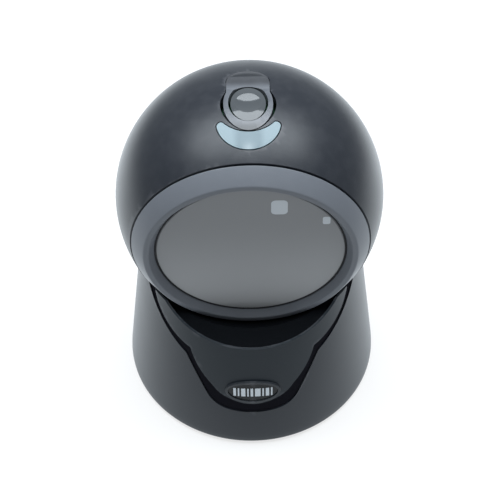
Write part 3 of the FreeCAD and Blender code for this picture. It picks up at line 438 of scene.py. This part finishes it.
materials = {
    "charcoalShell": moulded("charcoalShell", tone(19, 23, 31), gloss=0.38, level=0.38),
    # the same charcoal plastic as the head, painted lighter on the base for the light the base gets
    "charcoalBase": moulded("charcoalBase", tone(22, 27, 35), gloss=0.38, level=0.35),
    "slatePanel": moulded("slatePanel", tone(21, 29, 36), gloss=0.38, level=0.25),
    "blackTrim": moulded("blackTrim", tone(22, 22, 26), gloss=0.7, level=0.0, dust=0.0, wearAndSheen=0.0),
    "cupBlack": moulded("cupBlack", tone(16, 18, 21), gloss=0.7, level=0.02, dust=0.0, wearAndSheen=0.0),
    "greyFrame": moulded("greyFrame", tone(93, 96, 102), gloss=0.42, level=0.35),
    # the collar is a slightly lighter grey than the shell, painted lighter still for the highlight its ring
    # catches
    "collarPlastic": moulded("collarPlastic", tone(76, 79, 85), gloss=0.3, level=0.5),
    "innerPlastic": moulded("innerPlastic", tone(38, 39, 42), gloss=0.5),
    "blackRubber": moulded("blackRubber", tone(22, 22, 24), gloss=0.75, level=0.25, grainSize=1500),
    "tintedWindow": moulded("tintedWindow", tone(146, 146, 147), gloss=0.5, spread=0.03, grainDepth=0.0,
                            level=0.15, dust=0.02, wearAndSheen=0.0),
    "smokyButton": moulded("smokyButton", tone(62, 65, 68), gloss=0.12, spread=0.02, grainDepth=0.0,
                           level=0.3, dust=0.0, wearAndSheen=0.0, coat=0.35, coatGloss=0.05),
    "lensGlass": moulded("lensGlass", tone(30, 34, 50), gloss=0.05, spread=0.01, grainDepth=0.0,
                         level=0.6),
    "paleLens": moulded("paleLens", tone(82, 101, 109), gloss=0.2, spread=0.04, grainDepth=0.02, dust=0.0,
                        wearAndSheen=0.0),
    "reflectorMetal": moulded("reflectorMetal", tone(200, 200, 204), gloss=0.15, metallic=1.0,
                              grainDepth=0.05),
    "badgeBlack": moulded("badgeBlack", tone(10, 11, 13), gloss=0.25, spread=0.03, level=0.25,
                          grainDepth=0.02, coat=0.1),
    "badgeRim": moulded("badgeRim", tone(32, 36, 41), gloss=0.35, level=0.4),
    # pale colour of the painted lamp reflections on the window
    "glintPaint": moulded("glintPaint", tone(168, 172, 176), gloss=0.3, grainDepth=0.0, wearAndSheen=0.0),
    "badgeSilver": moulded("badgeSilver", tone(190, 195, 199), gloss=0.3, metallic=0.8, grainDepth=0.05),
    "boardGreen": moulded("boardGreen", tone(24, 84, 52), gloss=0.35, coat=0.3),
    "lampWhite": moulded("lampWhite", tone(224, 222, 205), gloss=0.25, grainDepth=0.03),
    "zincSteel": moulded("zincSteel", tone(176, 176, 178), gloss=0.32, metallic=1.0, grainSize=900),
    "washerPlastic": moulded("washerPlastic", tone(205, 204, 198), gloss=0.45),
    "contactGold": moulded("contactGold", tone(212, 172, 92), gloss=0.25, metallic=1.0),
}
# painted light: the lens is lighter toward both tips, standing in for light in its glossy lobes
graded(materials["paleLens"], tone(104, 122, 129), "X", 3 * mm, 6 * mm)
# painted light: the window's colour is lighter toward the bottom and darker toward the top
graded(materials["tintedWindow"], tone(121, 121, 122), "Z", ballHeight - 30 * mm, ballHeight + 20 * mm)
# painted shade: the collar darkens toward both ends along Y, chiefly on the ramp behind the button
graded(materials["collarPlastic"], tone(30, 32, 37), "Y", 7.5 * mm, 11.5 * mm)
finishOfSlot = {
    "charcoal_shell": "charcoalShell", "slate_panel": "slatePanel", "black_trim": "blackTrim",
    "grey_frame": "greyFrame", "collar_plastic": "collarPlastic", "inner_plastic": "innerPlastic",
    "black_rubber": "blackRubber", "tinted_window": "tintedWindow", "smoky_button": "smokyButton",
    "lens_glass": "lensGlass", "pale_lens": "paleLens", "reflector_metal": "reflectorMetal",
    "badge_black": "badgeBlack", "badge_silver": "badgeSilver", "board_green": "boardGreen",
    "lamp_white": "lampWhite", "zinc_steel": "zincSteel", "washer_plastic": "washerPlastic",
    "contact_gold": "contactGold",
}
for row in frame["record"]["subparts"]:
    cadPiece = nodes[row["node"]]
    cadPiece.data.materials.clear()
    cadPiece.data.materials.append(materials[finishOfSlot[row["material_slot"]]])
print("materials ready")


baseShape = {
    "footRound": 1.6 * mm,
    "frontRim": 55.6 * mm,
    "scoopReach": 26.7 * mm,
    "scoopSag": 0.9 * mm,
    "bandWidth": 1.9 * mm,
    "bandFoot": 2.7 * mm,
    "bandRecess": 0.5 * mm,
    "panelShrink": 0.3 * mm,
    "panelThick": 0.7 * mm,
    "gap": 0.1 * mm,
    "edge": 0.22 * mm,
    "portHalf": (6.5 * mm, 0, 4.1 * mm),
}
skinFoot = footLow + 8 * mm
panelShape = {
    "top": 35.3 * mm, "kinkAcross": 22.9 * mm, "kinkHeight": 47.9 * mm,
    "lowAcross": 15.4 * mm, "lowHeight": 31.6 * mm, "cornerAcross": 8.7 * mm, "cornerHeight": 25.7 * mm,
    "bottom": 23.5 * mm,
}


def scoopPath(drop=0.0):
    front = -(rimRadius + 4 * mm)
    slope = (rimHeight - baseShape["frontRim"]) / (rimRadius - baseShape["scoopReach"])
    low = baseShape["frontRim"] - 4 * mm * slope - drop
    high = rimHeight - drop
    middle = ((front - baseShape["scoopReach"]) / 2, (low + high) / 2 - baseShape["scoopSag"])
    back = (-baseShape["scoopReach"], high)
    return [Vector((front, low))] + arcThrough((front, low), middle, back, 16) + [
        Vector((back[0] + 8 * mm, high + 9 * mm)), Vector((back[0] + 8 * mm, rimHeight + 20 * mm)),
        Vector((front, rimHeight + 20 * mm))]


def panelPath(grow, footGrow):
    # right half from the bottom centre to the top, then mirrored
    shape = panelShape
    top = rimHeight + 3 * mm
    side = ((shape["top"] + shape["kinkAcross"]) / 2 + 3.4 * mm + grow,
            (top + shape["kinkHeight"]) / 2 - 1.6 * mm)
    flank = ((shape["kinkAcross"] + shape["lowAcross"]) / 2 + 1.1 * mm + grow,
             (shape["kinkHeight"] + shape["lowHeight"]) / 2 - grow / 2)
    lowBend = ((shape["lowAcross"] + shape["cornerAcross"]) / 2 + 0.5 * mm + grow * 0.7,
               (shape["lowHeight"] + shape["cornerHeight"]) / 2 - 0.6 * mm - footGrow * 2.15)
    corner = (shape["cornerAcross"] + grow * 0.3, shape["cornerHeight"] - 2.1 * footGrow)
    low = (shape["lowAcross"] + grow, shape["lowHeight"] - 2.4 * grow)
    kink = (shape["kinkAcross"] + grow * 0.8, shape["kinkHeight"] - 1.8 * grow)
    head = (shape["top"] + grow * 1.6, top)
    foot = (0, shape["bottom"] - footGrow * 1.6)
    half = arcThrough((-corner[0], corner[1]), foot, corner, 16)[7:]
    half += arcThrough(corner, lowBend, low, 8) + arcThrough(low, flank, kink, 8)
    half += arcThrough(kink, side, head, 14)
    return half + [Vector((-point.x, point.y)) for point in reversed(half[1:])]


def flarePath(inner, outer, low, high, rings=24):
    # a layer under the flared skin, cut into rings so that its shading stays even
    levels = [low + (high - low) * step / rings for step in range(rings + 1)]
    return ([(flareAt(level) - outer, level) for level in levels]
            + [(flareAt(level) - inner, level) for level in reversed(levels)])


def makeBaseShell():
    ledge = rimHeight - 4.4 * mm
    rise = (ledge - skirtHeight) / 24
    corners = [(flareAt(footLow) - baseWall, footLow, 0.3 * mm),
               (footRadius, footLow, baseShape["footRound"])]
    corners += [(flareAt(skirtHeight + rise * step), skirtHeight + rise * step, 0) for step in range(1, 25)]
    corners += [
        (rimRadius, rimHeight, 0.45 * mm),
        (rimRadius - rimEdge, rimHeight, 0.3 * mm),
        (math.sqrt(cupRadius ** 2 - (ballHeight - (ledge + rimHeight) / 2) ** 2), (ledge + rimHeight) / 2, 0),
        (math.sqrt(cupRadius ** 2 - (ballHeight - ledge) ** 2), ledge, 0),
        (flareAt(ledge) - baseWall, ledge, 0),
    ]
    corners += [(flareAt(level) - baseWall, level, 0)
                for level in [ledge - rise * 4 * step for step in range(1, 6)]]
    shell = turned("baseShell", roundedPath(corners))
    carve(shell, prism("scoopTool", scoopPath(), *sideCut))
    opening = panelPath(baseShape["bandWidth"], baseShape["bandFoot"])
    carve(shell, prism("openingTool", opening, *frontCut))
    portLow, portHigh = portBox()
    port = [(portLow.x, portLow.z), (portHigh.x, portLow.z), (portHigh.x, portHigh.z),
            (portLow.x, portHigh.z)]
    carve(shell, prism("portTool", port, "front", 0.01, 0.08))
    edgeEase(shell, baseShape["edge"], 3, sharpAngle)
    finished(shell, "base", materials["charcoalBase"], "charcoal_shell", "base_shell")


def portBox():
    low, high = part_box("cable_socket")
    middle = (low + high) / 2
    half = Vector(baseShape["portHalf"])
    return middle - half, middle + half


def makeFrontPanel():
    panel = turned("frontPanel", flarePath(baseShape["panelThick"], 0, skinFoot, rimHeight))
    shrink = -baseShape["panelShrink"]
    carve(panel, prism("panelTool", panelPath(shrink, shrink), *frontCut), "INTERSECT")
    carve(panel, prism("scoopTool", scoopPath(), *sideCut))
    carve(panel, ballSolid("cupTool", cupRadius))
    edgeEase(panel, baseShape["edge"], 3, sharpAngle)
    finished(panel, "base", materials["slatePanel"], "slate_panel", "front_panel")


def makeTrimBand():
    gap = baseShape["gap"]
    hole = gap - baseShape["panelShrink"]
    outline = panelPath(baseShape["bandWidth"] - gap, baseShape["bandFoot"] - gap)
    band = turned("trimBand", flarePath(baseWall, baseShape["bandRecess"], skinFoot, rimHeight))
    carve(band, prism("bandTool", outline, *frontCut), "INTERSECT")
    carve(band, prism("bandHole", panelPath(hole, hole), *frontCut))
    carve(band, prism("scoopTool", scoopPath(0.6 * mm), *sideCut))
    carve(band, ballSolid("cupTool", cupRadius))
    edgeEase(band, 0.12 * mm, 2, sharpAngle)
    finished(band, "base", materials["blackTrim"], "black_trim", "trim_band")


cradleShape = {
    "ledgeDrop": 4.6 * mm, "postBore": 6.7 * mm, "wall": 2 * mm, "edge": 0.85 * mm, "shoulder": 8 * mm,
}


def makeCradle():
    # the black cup under the ball; its rim falls to the front with the shell's
    shape = cradleShape
    ledge = rimHeight - shape["ledgeDrop"]
    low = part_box("cradle")[0].z
    inner = [(math.sqrt(cupRadius ** 2 - (ballHeight - level) ** 2), level)
             for level in [ledge - (ledge - (ballHeight - cupRadius + 0.5 * mm)) * (step / 28) ** 1.4
                           for step in range(28)]]
    shoulder = ballHeight - cupRadius + shape["shoulder"]
    outside = cupRadius + shape["wall"]
    outer = [(math.sqrt(outside ** 2 - (ballHeight - level) ** 2), level)
             for level in [shoulder * (1 - share) + (low + 2 * mm) * share
                           for share in (0, 0.3, 0.6, 0.85, 1)]
             if outside > ballHeight - level]
    levels = [ledge - (ledge - shoulder) * step / 12 for step in range(12, -1, -1)]
    bore = shape["postBore"]
    path = inner + [(bore, ballHeight - cupRadius + 0.45 * mm), (bore, low)] + outer[::-1]
    path += [(flareAt(level) - shape["edge"], level) for level in levels]
    cup = turned("cradle", path)
    carve(cup, prism("scoopTool", scoopPath(0.35 * mm), *sideCut))
    body = turned("keepTool", flarePath(baseWall + 0.3 * mm, 30 * mm, 0, rimHeight + 5 * mm, 8))
    carve(body, prism("keepHole", panelPath(0, 0), *frontCut))
    carve(cup, body)
    smoothed(cup, 50)
    finished(cup, "base", materials["cupBlack"], "black_trim", "cradle")


badgeShape = {
    "height": 31.4 * mm, "across": 20.6 * mm, "tall": 11.6 * mm, "rim": 0.9 * mm,
    "proud": 0.9 * mm, "dish": 0.45 * mm, "sunk": 0.6 * mm, "barTall": 4.4 * mm, "barProud": 0.25 * mm,
    "bars": (1.0, 0.6, 1.6, 0.6, 1.0, 2.1, 0.6, 1.3, 0.6), "space": 0.65,
}


def makeBadge():
    # a raised oval plate with a black field in its dish, and plain bars on the field
    shape = badgeShape
    middle = shape["height"]
    floor = shape["dish"] - shape["proud"]

    def layer(name, inner, outer):
        return turned(name, flarePath(inner, outer, middle - shape["tall"], middle + shape["tall"], 12))

    def inset(share):
        less = share * shape["rim"]
        return oval((shape["across"] - less) / 2, (shape["tall"] - less) / 2, middle)

    plate = layer("badgePlate", shape["sunk"], -shape["proud"])
    carve(plate, prism("ovalTool", inset(0), *frontCut), "INTERSECT")
    dish = layer("dishTool", floor, -shape["proud"] - 2 * mm)
    carve(dish, prism("dishOval", inset(2), *frontCut), "INTERSECT")
    carve(plate, dish)
    edgeEase(plate, 0.22 * mm, 3, 40)
    finished(plate, "base", materials["badgeRim"], "badge_black", "badge_plate")
    field = layer("badgeField", floor + 0.02 * mm, floor - 0.03 * mm)
    carve(field, prism("fieldOval", inset(2.15), *frontCut), "INTERSECT")
    smoothed(field, 40)
    finished(field, "base", materials["badgeBlack"], "badge_black")
    bars = []
    left = -(sum(shape["bars"]) + shape["space"] * (len(shape["bars"]) - 1)) / 2
    low, high = middle - shape["barTall"] / 2, middle + shape["barTall"] / 2
    for width in shape["bars"]:
        bar = layer("bar", floor + 0.05 * mm, floor - shape["barProud"])
        right = left + width
        path = [(left * mm, low), (right * mm, low), (right * mm, high), (left * mm, high)]
        carve(bar, prism("barTool", path, *frontCut), "INTERSECT")
        edgeEase(bar, 0.06 * mm, 2, 40)
        bars.append(bar)
        left = right + shape["space"]
    whole = smoothed(joinAll(bars, "badgeBars"), 40)
    finished(whole, "base", materials["badgeSilver"], "badge_silver", "badge_bars")


makeBaseShell()
makeFrontPanel()
makeTrimBand()
makeCradle()
makeBadge()
print("base ready")


headShape = {
    "splitDrop": 8 * mm, "seam": 0.3 * mm, "edge": 0.2 * mm,
    "slotHalf": 8 * mm, "slotForward": 21.3, "slotBack": 29.3,
}
crownShape = {
    "gap": 0.34 * mm, "rearGap": 0.1 * mm, "sideGap": 0.8 * mm,
    "ring": 8.35 * mm, "ringLong": 11.4 * mm, "ringMiddle": -0.6 * mm, "ramp": 7.5 * mm, "rampEnd": 17.1 * mm,
    "dishRadius": 14.5 * mm, "dishDepth": 0.75 * mm, "dishBack": 12.8 * mm,
    "button": 5.95 * mm, "buttonLong": 7.55 * mm, "buttonMiddle": -0.3 * mm, "buttonGap": 0.8 * mm,
    "proud": -0.5 * mm, "dome": 30 * mm, "hollow": 13 * mm, "hollowDepth": 1.1 * mm,
    "collarEdge": 0.35 * mm, "buttonEdge": 0.45 * mm,
}


def hollowBall(name):
    shell = ballSolid(name, ballRadius)
    carve(shell, ballSolid("hollowTool", ballRadius - shellWall, segments=128, rings=64))
    return shell


def slab(name, low, high):
    clearSelection()
    size = Vector(high) - Vector(low)
    bpy.ops.mesh.primitive_cube_add(size=1, location=(Vector(low) + Vector(high)) / 2)
    piece = bpy.context.object
    piece.scale = size
    settle(piece)
    return nameIt(piece, name)


def collarPath(grow=0.0, rearGrow=0.0, swell=0.0):
    # an oval round the button that runs on into a narrower ramp with a round end
    shape = crownShape
    turnOff = math.radians(28)
    right = []
    for step in range(41):
        angle = -math.pi / 2 + (math.pi / 2 + turnOff) * step / 40
        fade = max(0.0, 1 - (angle / turnOff) ** 2) if angle > 0 else 1
        extra = grow + swell * max(0.0, math.cos(angle)) ** 3 * fade
        right.append(Vector(((shape["ring"] + extra) * math.cos(angle),
                             shape["ringMiddle"] + (shape["ringLong"] + grow) * math.sin(angle))))
    waist = (shape["ramp"] - 0.1 * mm + rearGrow, 8.0 * mm)
    hip = (shape["ramp"] + rearGrow, 10.5 * mm)
    bend = (shape["ramp"] * 0.72 + rearGrow, 15.2 * mm)
    right += arcThrough(right[-1], waist, hip, 8)
    right += arcThrough(hip, bend, (0, shape["rampEnd"] + rearGrow), 16)
    return right + [Vector((-point.x, point.y)) for point in reversed(right[1:-1])]


def evened(path, step=0.9 * mm):
    # the same loop with long sides cut into short ones
    loop = []
    for here, after in zip(path, path[1:] + path[:1]):
        parts = max(1, round((after - here).length / step))
        loop += [here.lerp(after, part / parts) for part in range(parts)]
    return loop


lensShape = {
    "tip": (10.6 * mm, -10.0 * mm), "shoulder": (10.0 * mm, -8.45 * mm), "inner": (8.6 * mm, -8.5 * mm),
    "innerMiddle": -12.6 * mm, "outerMiddle": -18.6 * mm, "gap": 0.38 * mm, "edge": 0.45 * mm,
}


def lensPath(grow=0.0):
    # a crescent: outer arc, rounded tips, inner arc along the collar
    shape = lensShape
    tipX, tipY = shape["tip"][0] + grow, shape["tip"][1]
    shoulderX, shoulderY = (shape["shoulder"][0] + grow * 0.8, shape["shoulder"][1] + grow * 0.8)
    innerX, innerY = shape["inner"][0], shape["inner"][1] + grow
    path = [Vector((tipX, tipY))]
    path += arcThrough((tipX, tipY), (shoulderX, shoulderY), (innerX, innerY), 6)
    path += arcThrough((innerX, innerY), (0, shape["innerMiddle"] + grow), (-innerX, innerY), 28)
    path += arcThrough((-innerX, innerY), (-shoulderX, shoulderY), (-tipX, tipY), 6)
    path += arcThrough((-tipX, tipY), (0, shape["outerMiddle"] - grow), (tipX, tipY), 36)[:-1]
    return path


def makeHeadShells():
    upper = hollowBall("headUpperShell")
    carve(upper, slab("frontTool", (-slabReach, -0.09, 0), (slabReach, -seamReach, 0.2)))
    lower = copied(upper, "headLowerShell")
    split, half = ballHeight - headShape["splitDrop"], headShape["seam"] / 2
    carve(upper, slab("belowTool", (-slabReach, -slabReach, 0), (slabReach, slabReach, split + half)))
    opening = collarPath(crownShape["gap"], crownShape["rearGap"], crownShape["sideGap"])
    carve(upper, prism("collarTool", evened(opening), *topCut))
    carve(upper, prism("lensTool", lensPath(lensShape["gap"]), *topCut))
    edgeEase(upper, headShape["edge"], 3, sharpAngle)
    finished(upper, "head", materials["charcoalShell"], "charcoal_shell", "head_upper_shell")
    carve(lower, slab("aboveTool", (-slabReach, -slabReach, split - half), (slabReach, slabReach, 0.2)))
    forward, back = math.radians(headShape["slotForward"]), math.radians(headShape["slotBack"])
    reach = 1.5 * ballRadius
    wedge = [(0, ballHeight), (-reach * math.sin(forward), ballHeight - reach * math.cos(forward)),
             (reach * math.sin(back), ballHeight - reach * math.cos(back))]
    carve(lower, prism("slotTool", wedge, "side", -headShape["slotHalf"], headShape["slotHalf"]))
    edgeEase(lower, headShape["edge"], 3, sharpAngle)
    finished(lower, "head", materials["charcoalShell"], "charcoal_shell", "head_lower_shell")


bezelShape = {
    "seamGap": 0.42 * mm, "glassGap": 0.75 * mm, "lipDrop": 0.3 * mm, "lipInset": 0.5 * mm,
    "lipRound": 0.9 * mm, "lipWide": 1.9 * mm, "innerRound": 0.5 * mm, "foot": 2.4 * mm, "step": 1.5 * mm,
    "edge": 0.25 * mm,
}


def makeBezel():
    shape = bezelShape
    seam = seamReach + shape["seamGap"]
    outer = math.sqrt(ballRadius ** 2 - seam ** 2)
    lip = math.sqrt(ballRadius ** 2 - lipReach ** 2) - shape["lipInset"]
    bore, foot = glassRadius + shape["glassGap"], glassFront - shape["foot"]
    corners = [
        (bore - shape["step"], seam, 0), (outer - 2.5 * mm, seam, 0),
        (outer - 0.05 * mm, seam, shape["edge"]),
        (lip, lipReach - shape["lipDrop"], shape["lipRound"]),
        (lip - shape["lipWide"], lipReach - shape["lipDrop"] - 0.05 * mm, shape["innerRound"]),
        (bore, glassFront + 0.1 * mm, shape["edge"]), (bore, foot, 0), (bore - shape["step"], foot, 0),
    ]
    ring = turned("bezelRing", roundedPath(corners), window=True)
    smoothed(ring, 40)
    finished(ring, "head", materials["greyFrame"], "grey_frame", "bezel_ring")


def skinPiece(name, outline):
    # a thick patch of the ball's skin, cut to an outline seen from above
    patch = ballSolid(name, ballRadius - 0.02 * mm, segments=256, rings=128)
    carve(patch, ballSolid("underTool", ballRadius - 3 * mm, segments=64, rings=32))
    carve(patch, prism("outlineTool", outline, *topCut), "INTERSECT")
    return patch


def makeCollar():
    collar = skinPiece("buttonCollar", evened(collarPath()))
    well = crownShape["button"] + crownShape["buttonGap"]
    long = crownShape["buttonLong"] + crownShape["buttonGap"]
    hollow, back = crownShape["dishRadius"], crownShape["dishBack"]
    lift = ballHeight + math.sqrt(ballRadius ** 2 - back ** 2) + hollow - crownShape["dishDepth"]
    ring = [(back + hollow * math.sin(math.pi * step / 90), lift - hollow * math.cos(math.pi * step / 90))
            for step in range(180)]
    carve(collar, prism("dishTool", ring, "side", -0.03, 0.03))
    carve(collar, prism("wellTool", oval(well, long, crownShape["buttonMiddle"]), *topCut))
    edgeEase(collar, crownShape["collarEdge"], 4, sharpAngle)
    finished(collar, "head", materials["collarPlastic"], "collar_plastic", "button_collar")


def makeLens():
    lens = skinPiece("statusLens", lensPath())
    edgeEase(lens, lensShape["edge"], 4, sharpAngle)
    finished(lens, "head", materials["paleLens"], "pale_lens", "status_lens")


def makeButton():
    shape = crownShape
    top = ballHeight + ballRadius
    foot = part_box("trigger_button")[0].z
    peak = top + shape["proud"]
    cap = ballSolid("triggerButton", shape["dome"], (0, 0, peak - shape["dome"]), 320, 160)
    carve(cap, prism("sideTool", oval(shape["button"], shape["buttonLong"], shape["buttonMiddle"], 96),
                     "top", foot + 1.4 * mm, peak + 5 * mm), "INTERSECT")
    carve(cap, ballSolid("hollowTool", shape["hollow"],
                         (0, shape["buttonMiddle"], peak - shape["hollowDepth"] + shape["hollow"]), 256, 128))
    edgeEase(cap, shape["buttonEdge"], 5, 14, 14)
    finished(cap, "button", materials["smokyButton"], "smoky_button", "trigger_button")


windowShape = {"thick": 2 * mm, "edge": 0.25 * mm, "rimWide": 4 * mm, "sealBore": 0.7 * mm}


def makeWindow():
    front, back = glassFront, glassFront - windowShape["thick"]
    edge = windowShape["edge"]
    path = [(0, back), (glassRadius, back), (glassRadius, front - edge), (glassRadius - edge, front),
            (glassRadius - windowShape["rimWide"], front), (0, front)]
    glass = turned("scanWindow", path, window=True)
    smoothed(glass, 20)
    finished(glass, "head", materials["tintedWindow"], "tinted_window", "scan_window")
    bore = glassRadius + windowShape["sealBore"]
    inside = glassRadius + 0.02 * mm
    path = [(inside, back), (inside, front - 0.2 * mm), (glassRadius + 0.2 * mm, front),
            (bore - 0.15 * mm, front), (bore, front - 0.15 * mm), (bore, back)]
    seal = turned("windowGasket", path, window=True)
    smoothed(seal, 40)
    finished(seal, "head", materials["blackRubber"], "black_rubber", "window_gasket")


glintPlan = {
    # name: across, height, width and tallness
    "paintedGlintLarge": (9.9 * mm, ballHeight + 23.7 * mm, 5.6 * mm, 7.2 * mm),
    "paintedGlintSmall": (26.0 * mm, ballHeight + 16.4 * mm, 2.6 * mm, 3.8 * mm),
}
glintProud = 0.02 * mm


def makeGlints():
    # two pale patches on the window's face: painted reflections of lamps
    for name, (x, z, across, tall) in glintPlan.items():
        corner = min(across, tall) * 0.28
        corners = [(x + across / 2 * side, z + tall / 2 * end, corner)
                   for side, end in ((-1, -1), (1, -1), (1, 1), (-1, 1))]
        path = roundedPath(corners)
        glintPatch = prism(name, path, "front", -glassFront - glintProud, -glassFront + 0.3 * mm)
        smoothed(glintPatch, 30)
        finished(glintPatch, "head", materials["glintPaint"], "pale_lens")


makeHeadShells()
makeBezel()
makeCollar()
makeLens()
makeButton()
makeWindow()
makeGlints()
print("head ready")


# plain pieces keep the frame's mesh, with their edges eased
for nodeName in ("bottom_plate", "rubber_feet", "bottom_screws", "cable_socket", "jack_board"):
    easedPiece = nodes[nodeName]
    ease = easedPiece.modifiers.new("ease", "BEVEL")
    ease.width = 0.15 * mm
    ease.segments = 2
    ease.limit_method = "ANGLE"
    ease.angle_limit = math.radians(50)
print("plain pieces ready")


studioTint = (0.88, 0.95, 1.0)
# what the glossy parts see of the floor: how bright, and where along Y or X it changes
floorGlow = {
    "front": 0.85, "beside": 2.8, "frontAt": -0.08, "besideAt": 0.12,
    "farShare": 0.42, "farFrom": 0.12, "farAt": 0.4, "sideShare": 0.25, "sideFrom": 0.2, "sideAt": 0.5,
}
floorSize = 12
floorShown = 0.7  # how much of the floor's white is light of its own, where the camera sees it
worldGlow = {"plain": 0.38, "glossy": 0.7}


def ranged(tree, value, start, end, low, high):
    # a value mapped from start..end to low..high
    reach = tree.nodes.new("ShaderNodeMapRange")
    for label, number in (("From Min", start), ("From Max", end), ("To Min", low), ("To Max", high)):
        reach.inputs[label].default_value = number
    tree.links.new(value, reach.inputs["Value"])
    return reach.outputs[0]


def computed(tree, operation, first, second=None):
    node = tree.nodes.new("ShaderNodeMath")
    node.operation = operation
    tree.links.new(first, node.inputs[0])
    if second:
        tree.links.new(second, node.inputs[1])
    return node.outputs[0]


def makeStage():
    clearSelection()
    bpy.ops.mesh.primitive_plane_add(size=floorSize, location=(0, 0, 0))
    floor = nameIt(bpy.context.object, "floor")
    material = bpy.data.materials.new("paleFloor")
    material.use_nodes = True
    tree = material.node_tree
    shader = tree.nodes["Principled BSDF"]
    shader.inputs["Base Color"].default_value = (0.9, 0.9, 0.9, 1)
    shader.inputs["Roughness"].default_value = 0.8
    shader.inputs["Specular IOR Level"].default_value = 0.0
    glow = tree.nodes.new("ShaderNodeEmission")
    glow.inputs["Strength"].default_value = 1.0
    paths = tree.nodes.new("ShaderNodeLightPath")
    share = tree.nodes.new("ShaderNodeMath")
    share.operation = "MULTIPLY"
    share.inputs[1].default_value = floorShown
    mix = tree.nodes.new("ShaderNodeMixShader")
    link = tree.links.new
    link(paths.outputs["Is Camera Ray"], share.inputs[0])
    link(share.outputs[0], mix.inputs["Fac"])
    link(shader.outputs[0], mix.inputs[1])
    link(glow.outputs[0], mix.inputs[2])
    # the glossy parts see it dim in front, bright beside the object and dimmer again far off
    place = tree.nodes.new("ShaderNodeTexCoord")
    split = tree.nodes.new("ShaderNodeSeparateXYZ")
    link(place.outputs["Object"], split.inputs[0])
    along, spread = split.outputs["Y"], floorGlow
    near = ranged(tree, along, spread["frontAt"], spread["besideAt"], spread["front"],
                  spread["beside"])
    far = ranged(tree, along, spread["farFrom"], spread["farAt"], 1.0, spread["farShare"])
    aside = computed(tree, "ABSOLUTE", split.outputs["X"])
    wide = ranged(tree, aside, spread["sideFrom"], spread["sideAt"], 1.0, spread["sideShare"])
    sheen = tree.nodes.new("ShaderNodeEmission")
    sheen.inputs["Color"].default_value = studioTint + (1,)
    link(computed(tree, "MULTIPLY", computed(tree, "MULTIPLY", near, far), wide), sheen.inputs["Strength"])
    second = tree.nodes.new("ShaderNodeMixShader")
    link(paths.outputs["Is Glossy Ray"], second.inputs["Fac"])
    link(mix.outputs[0], second.inputs[1])
    link(sheen.outputs[0], second.inputs[2])
    link(second.outputs[0], tree.nodes["Material Output"].inputs["Surface"])
    floor.data.materials.append(material)


def makeWorld():
    world = bpy.data.worlds.new("studio")
    bpy.context.scene.world = world
    world.use_nodes = True
    tree = world.node_tree
    plain = tree.nodes["Background"]
    plain.inputs["Strength"].default_value = worldGlow["plain"]
    plain.inputs["Color"].default_value = studioTint + (1,)
    seen = tree.nodes.new("ShaderNodeBackground")
    seen.inputs["Color"].default_value = (1, 1, 1, 1)
    glossy = tree.nodes.new("ShaderNodeBackground")
    glossy.inputs["Color"].default_value = studioTint + (1,)
    glossy.inputs["Strength"].default_value = worldGlow["glossy"]
    paths = tree.nodes.new("ShaderNodeLightPath")
    first = tree.nodes.new("ShaderNodeMixShader")
    mix = tree.nodes.new("ShaderNodeMixShader")
    link = tree.links.new
    link(paths.outputs["Is Glossy Ray"], first.inputs["Fac"])
    link(plain.outputs[0], first.inputs[1])
    link(glossy.outputs[0], first.inputs[2])
    link(paths.outputs["Is Camera Ray"], mix.inputs["Fac"])
    link(first.outputs[0], mix.inputs[1])
    link(seen.outputs[0], mix.inputs[2])
    link(mix.outputs[0], tree.nodes["World Output"].inputs["Surface"])


lampPlan = {
    # name: place, width and height, watts
    "topSoftbox": ((0.0, 0.17, 0.9), (1.5, 0.5), 19.0),
    "smallLamp": ((0.0, -0.05, 0.9), (0.07, 0.07), 0.5),
}


def makeLamps():
    target = Vector((0, 0, ballHeight * 0.8))
    for name, (place, size, watts) in lampPlan.items():
        clearSelection()
        bpy.ops.object.light_add(type="AREA", location=place)
        lamp = bpy.context.object
        lamp.name = name
        lamp.data.shape = "RECTANGLE"
        lamp.data.size, lamp.data.size_y = size
        lamp.data.energy = watts
        lamp.data.color = studioTint
        lamp.rotation_euler = (target - Vector(place)).to_track_quat("-Z", "Y").to_euler()


cameraPlan = {
    "place": (-0.00136, -0.35287, 0.50086),
    "target": (-0.000128, 0, 0.05917),
    "roll": 0.87,
    "lens": 108.19,
}


def makeCamera():
    clearSelection()
    bpy.ops.object.camera_add(location=cameraPlan["place"])
    camera = bpy.context.object
    camera.name = "camera"
    camera.data.lens = cameraPlan["lens"]
    camera.data.sensor_width = 36
    aim = Vector(cameraPlan["target"]) - Vector(cameraPlan["place"])
    camera.rotation_euler = aim.to_track_quat("-Z", "Y").to_euler()
    camera.rotation_euler.rotate_axis("Z", math.radians(-cameraPlan["roll"]))
    camera.data.clip_start = 0.01
    bpy.context.scene.camera = camera


makeStage()
makeWorld()
makeLamps()
makeCamera()
bpy.context.scene.view_settings.view_transform = "Standard"
print("stage ready")
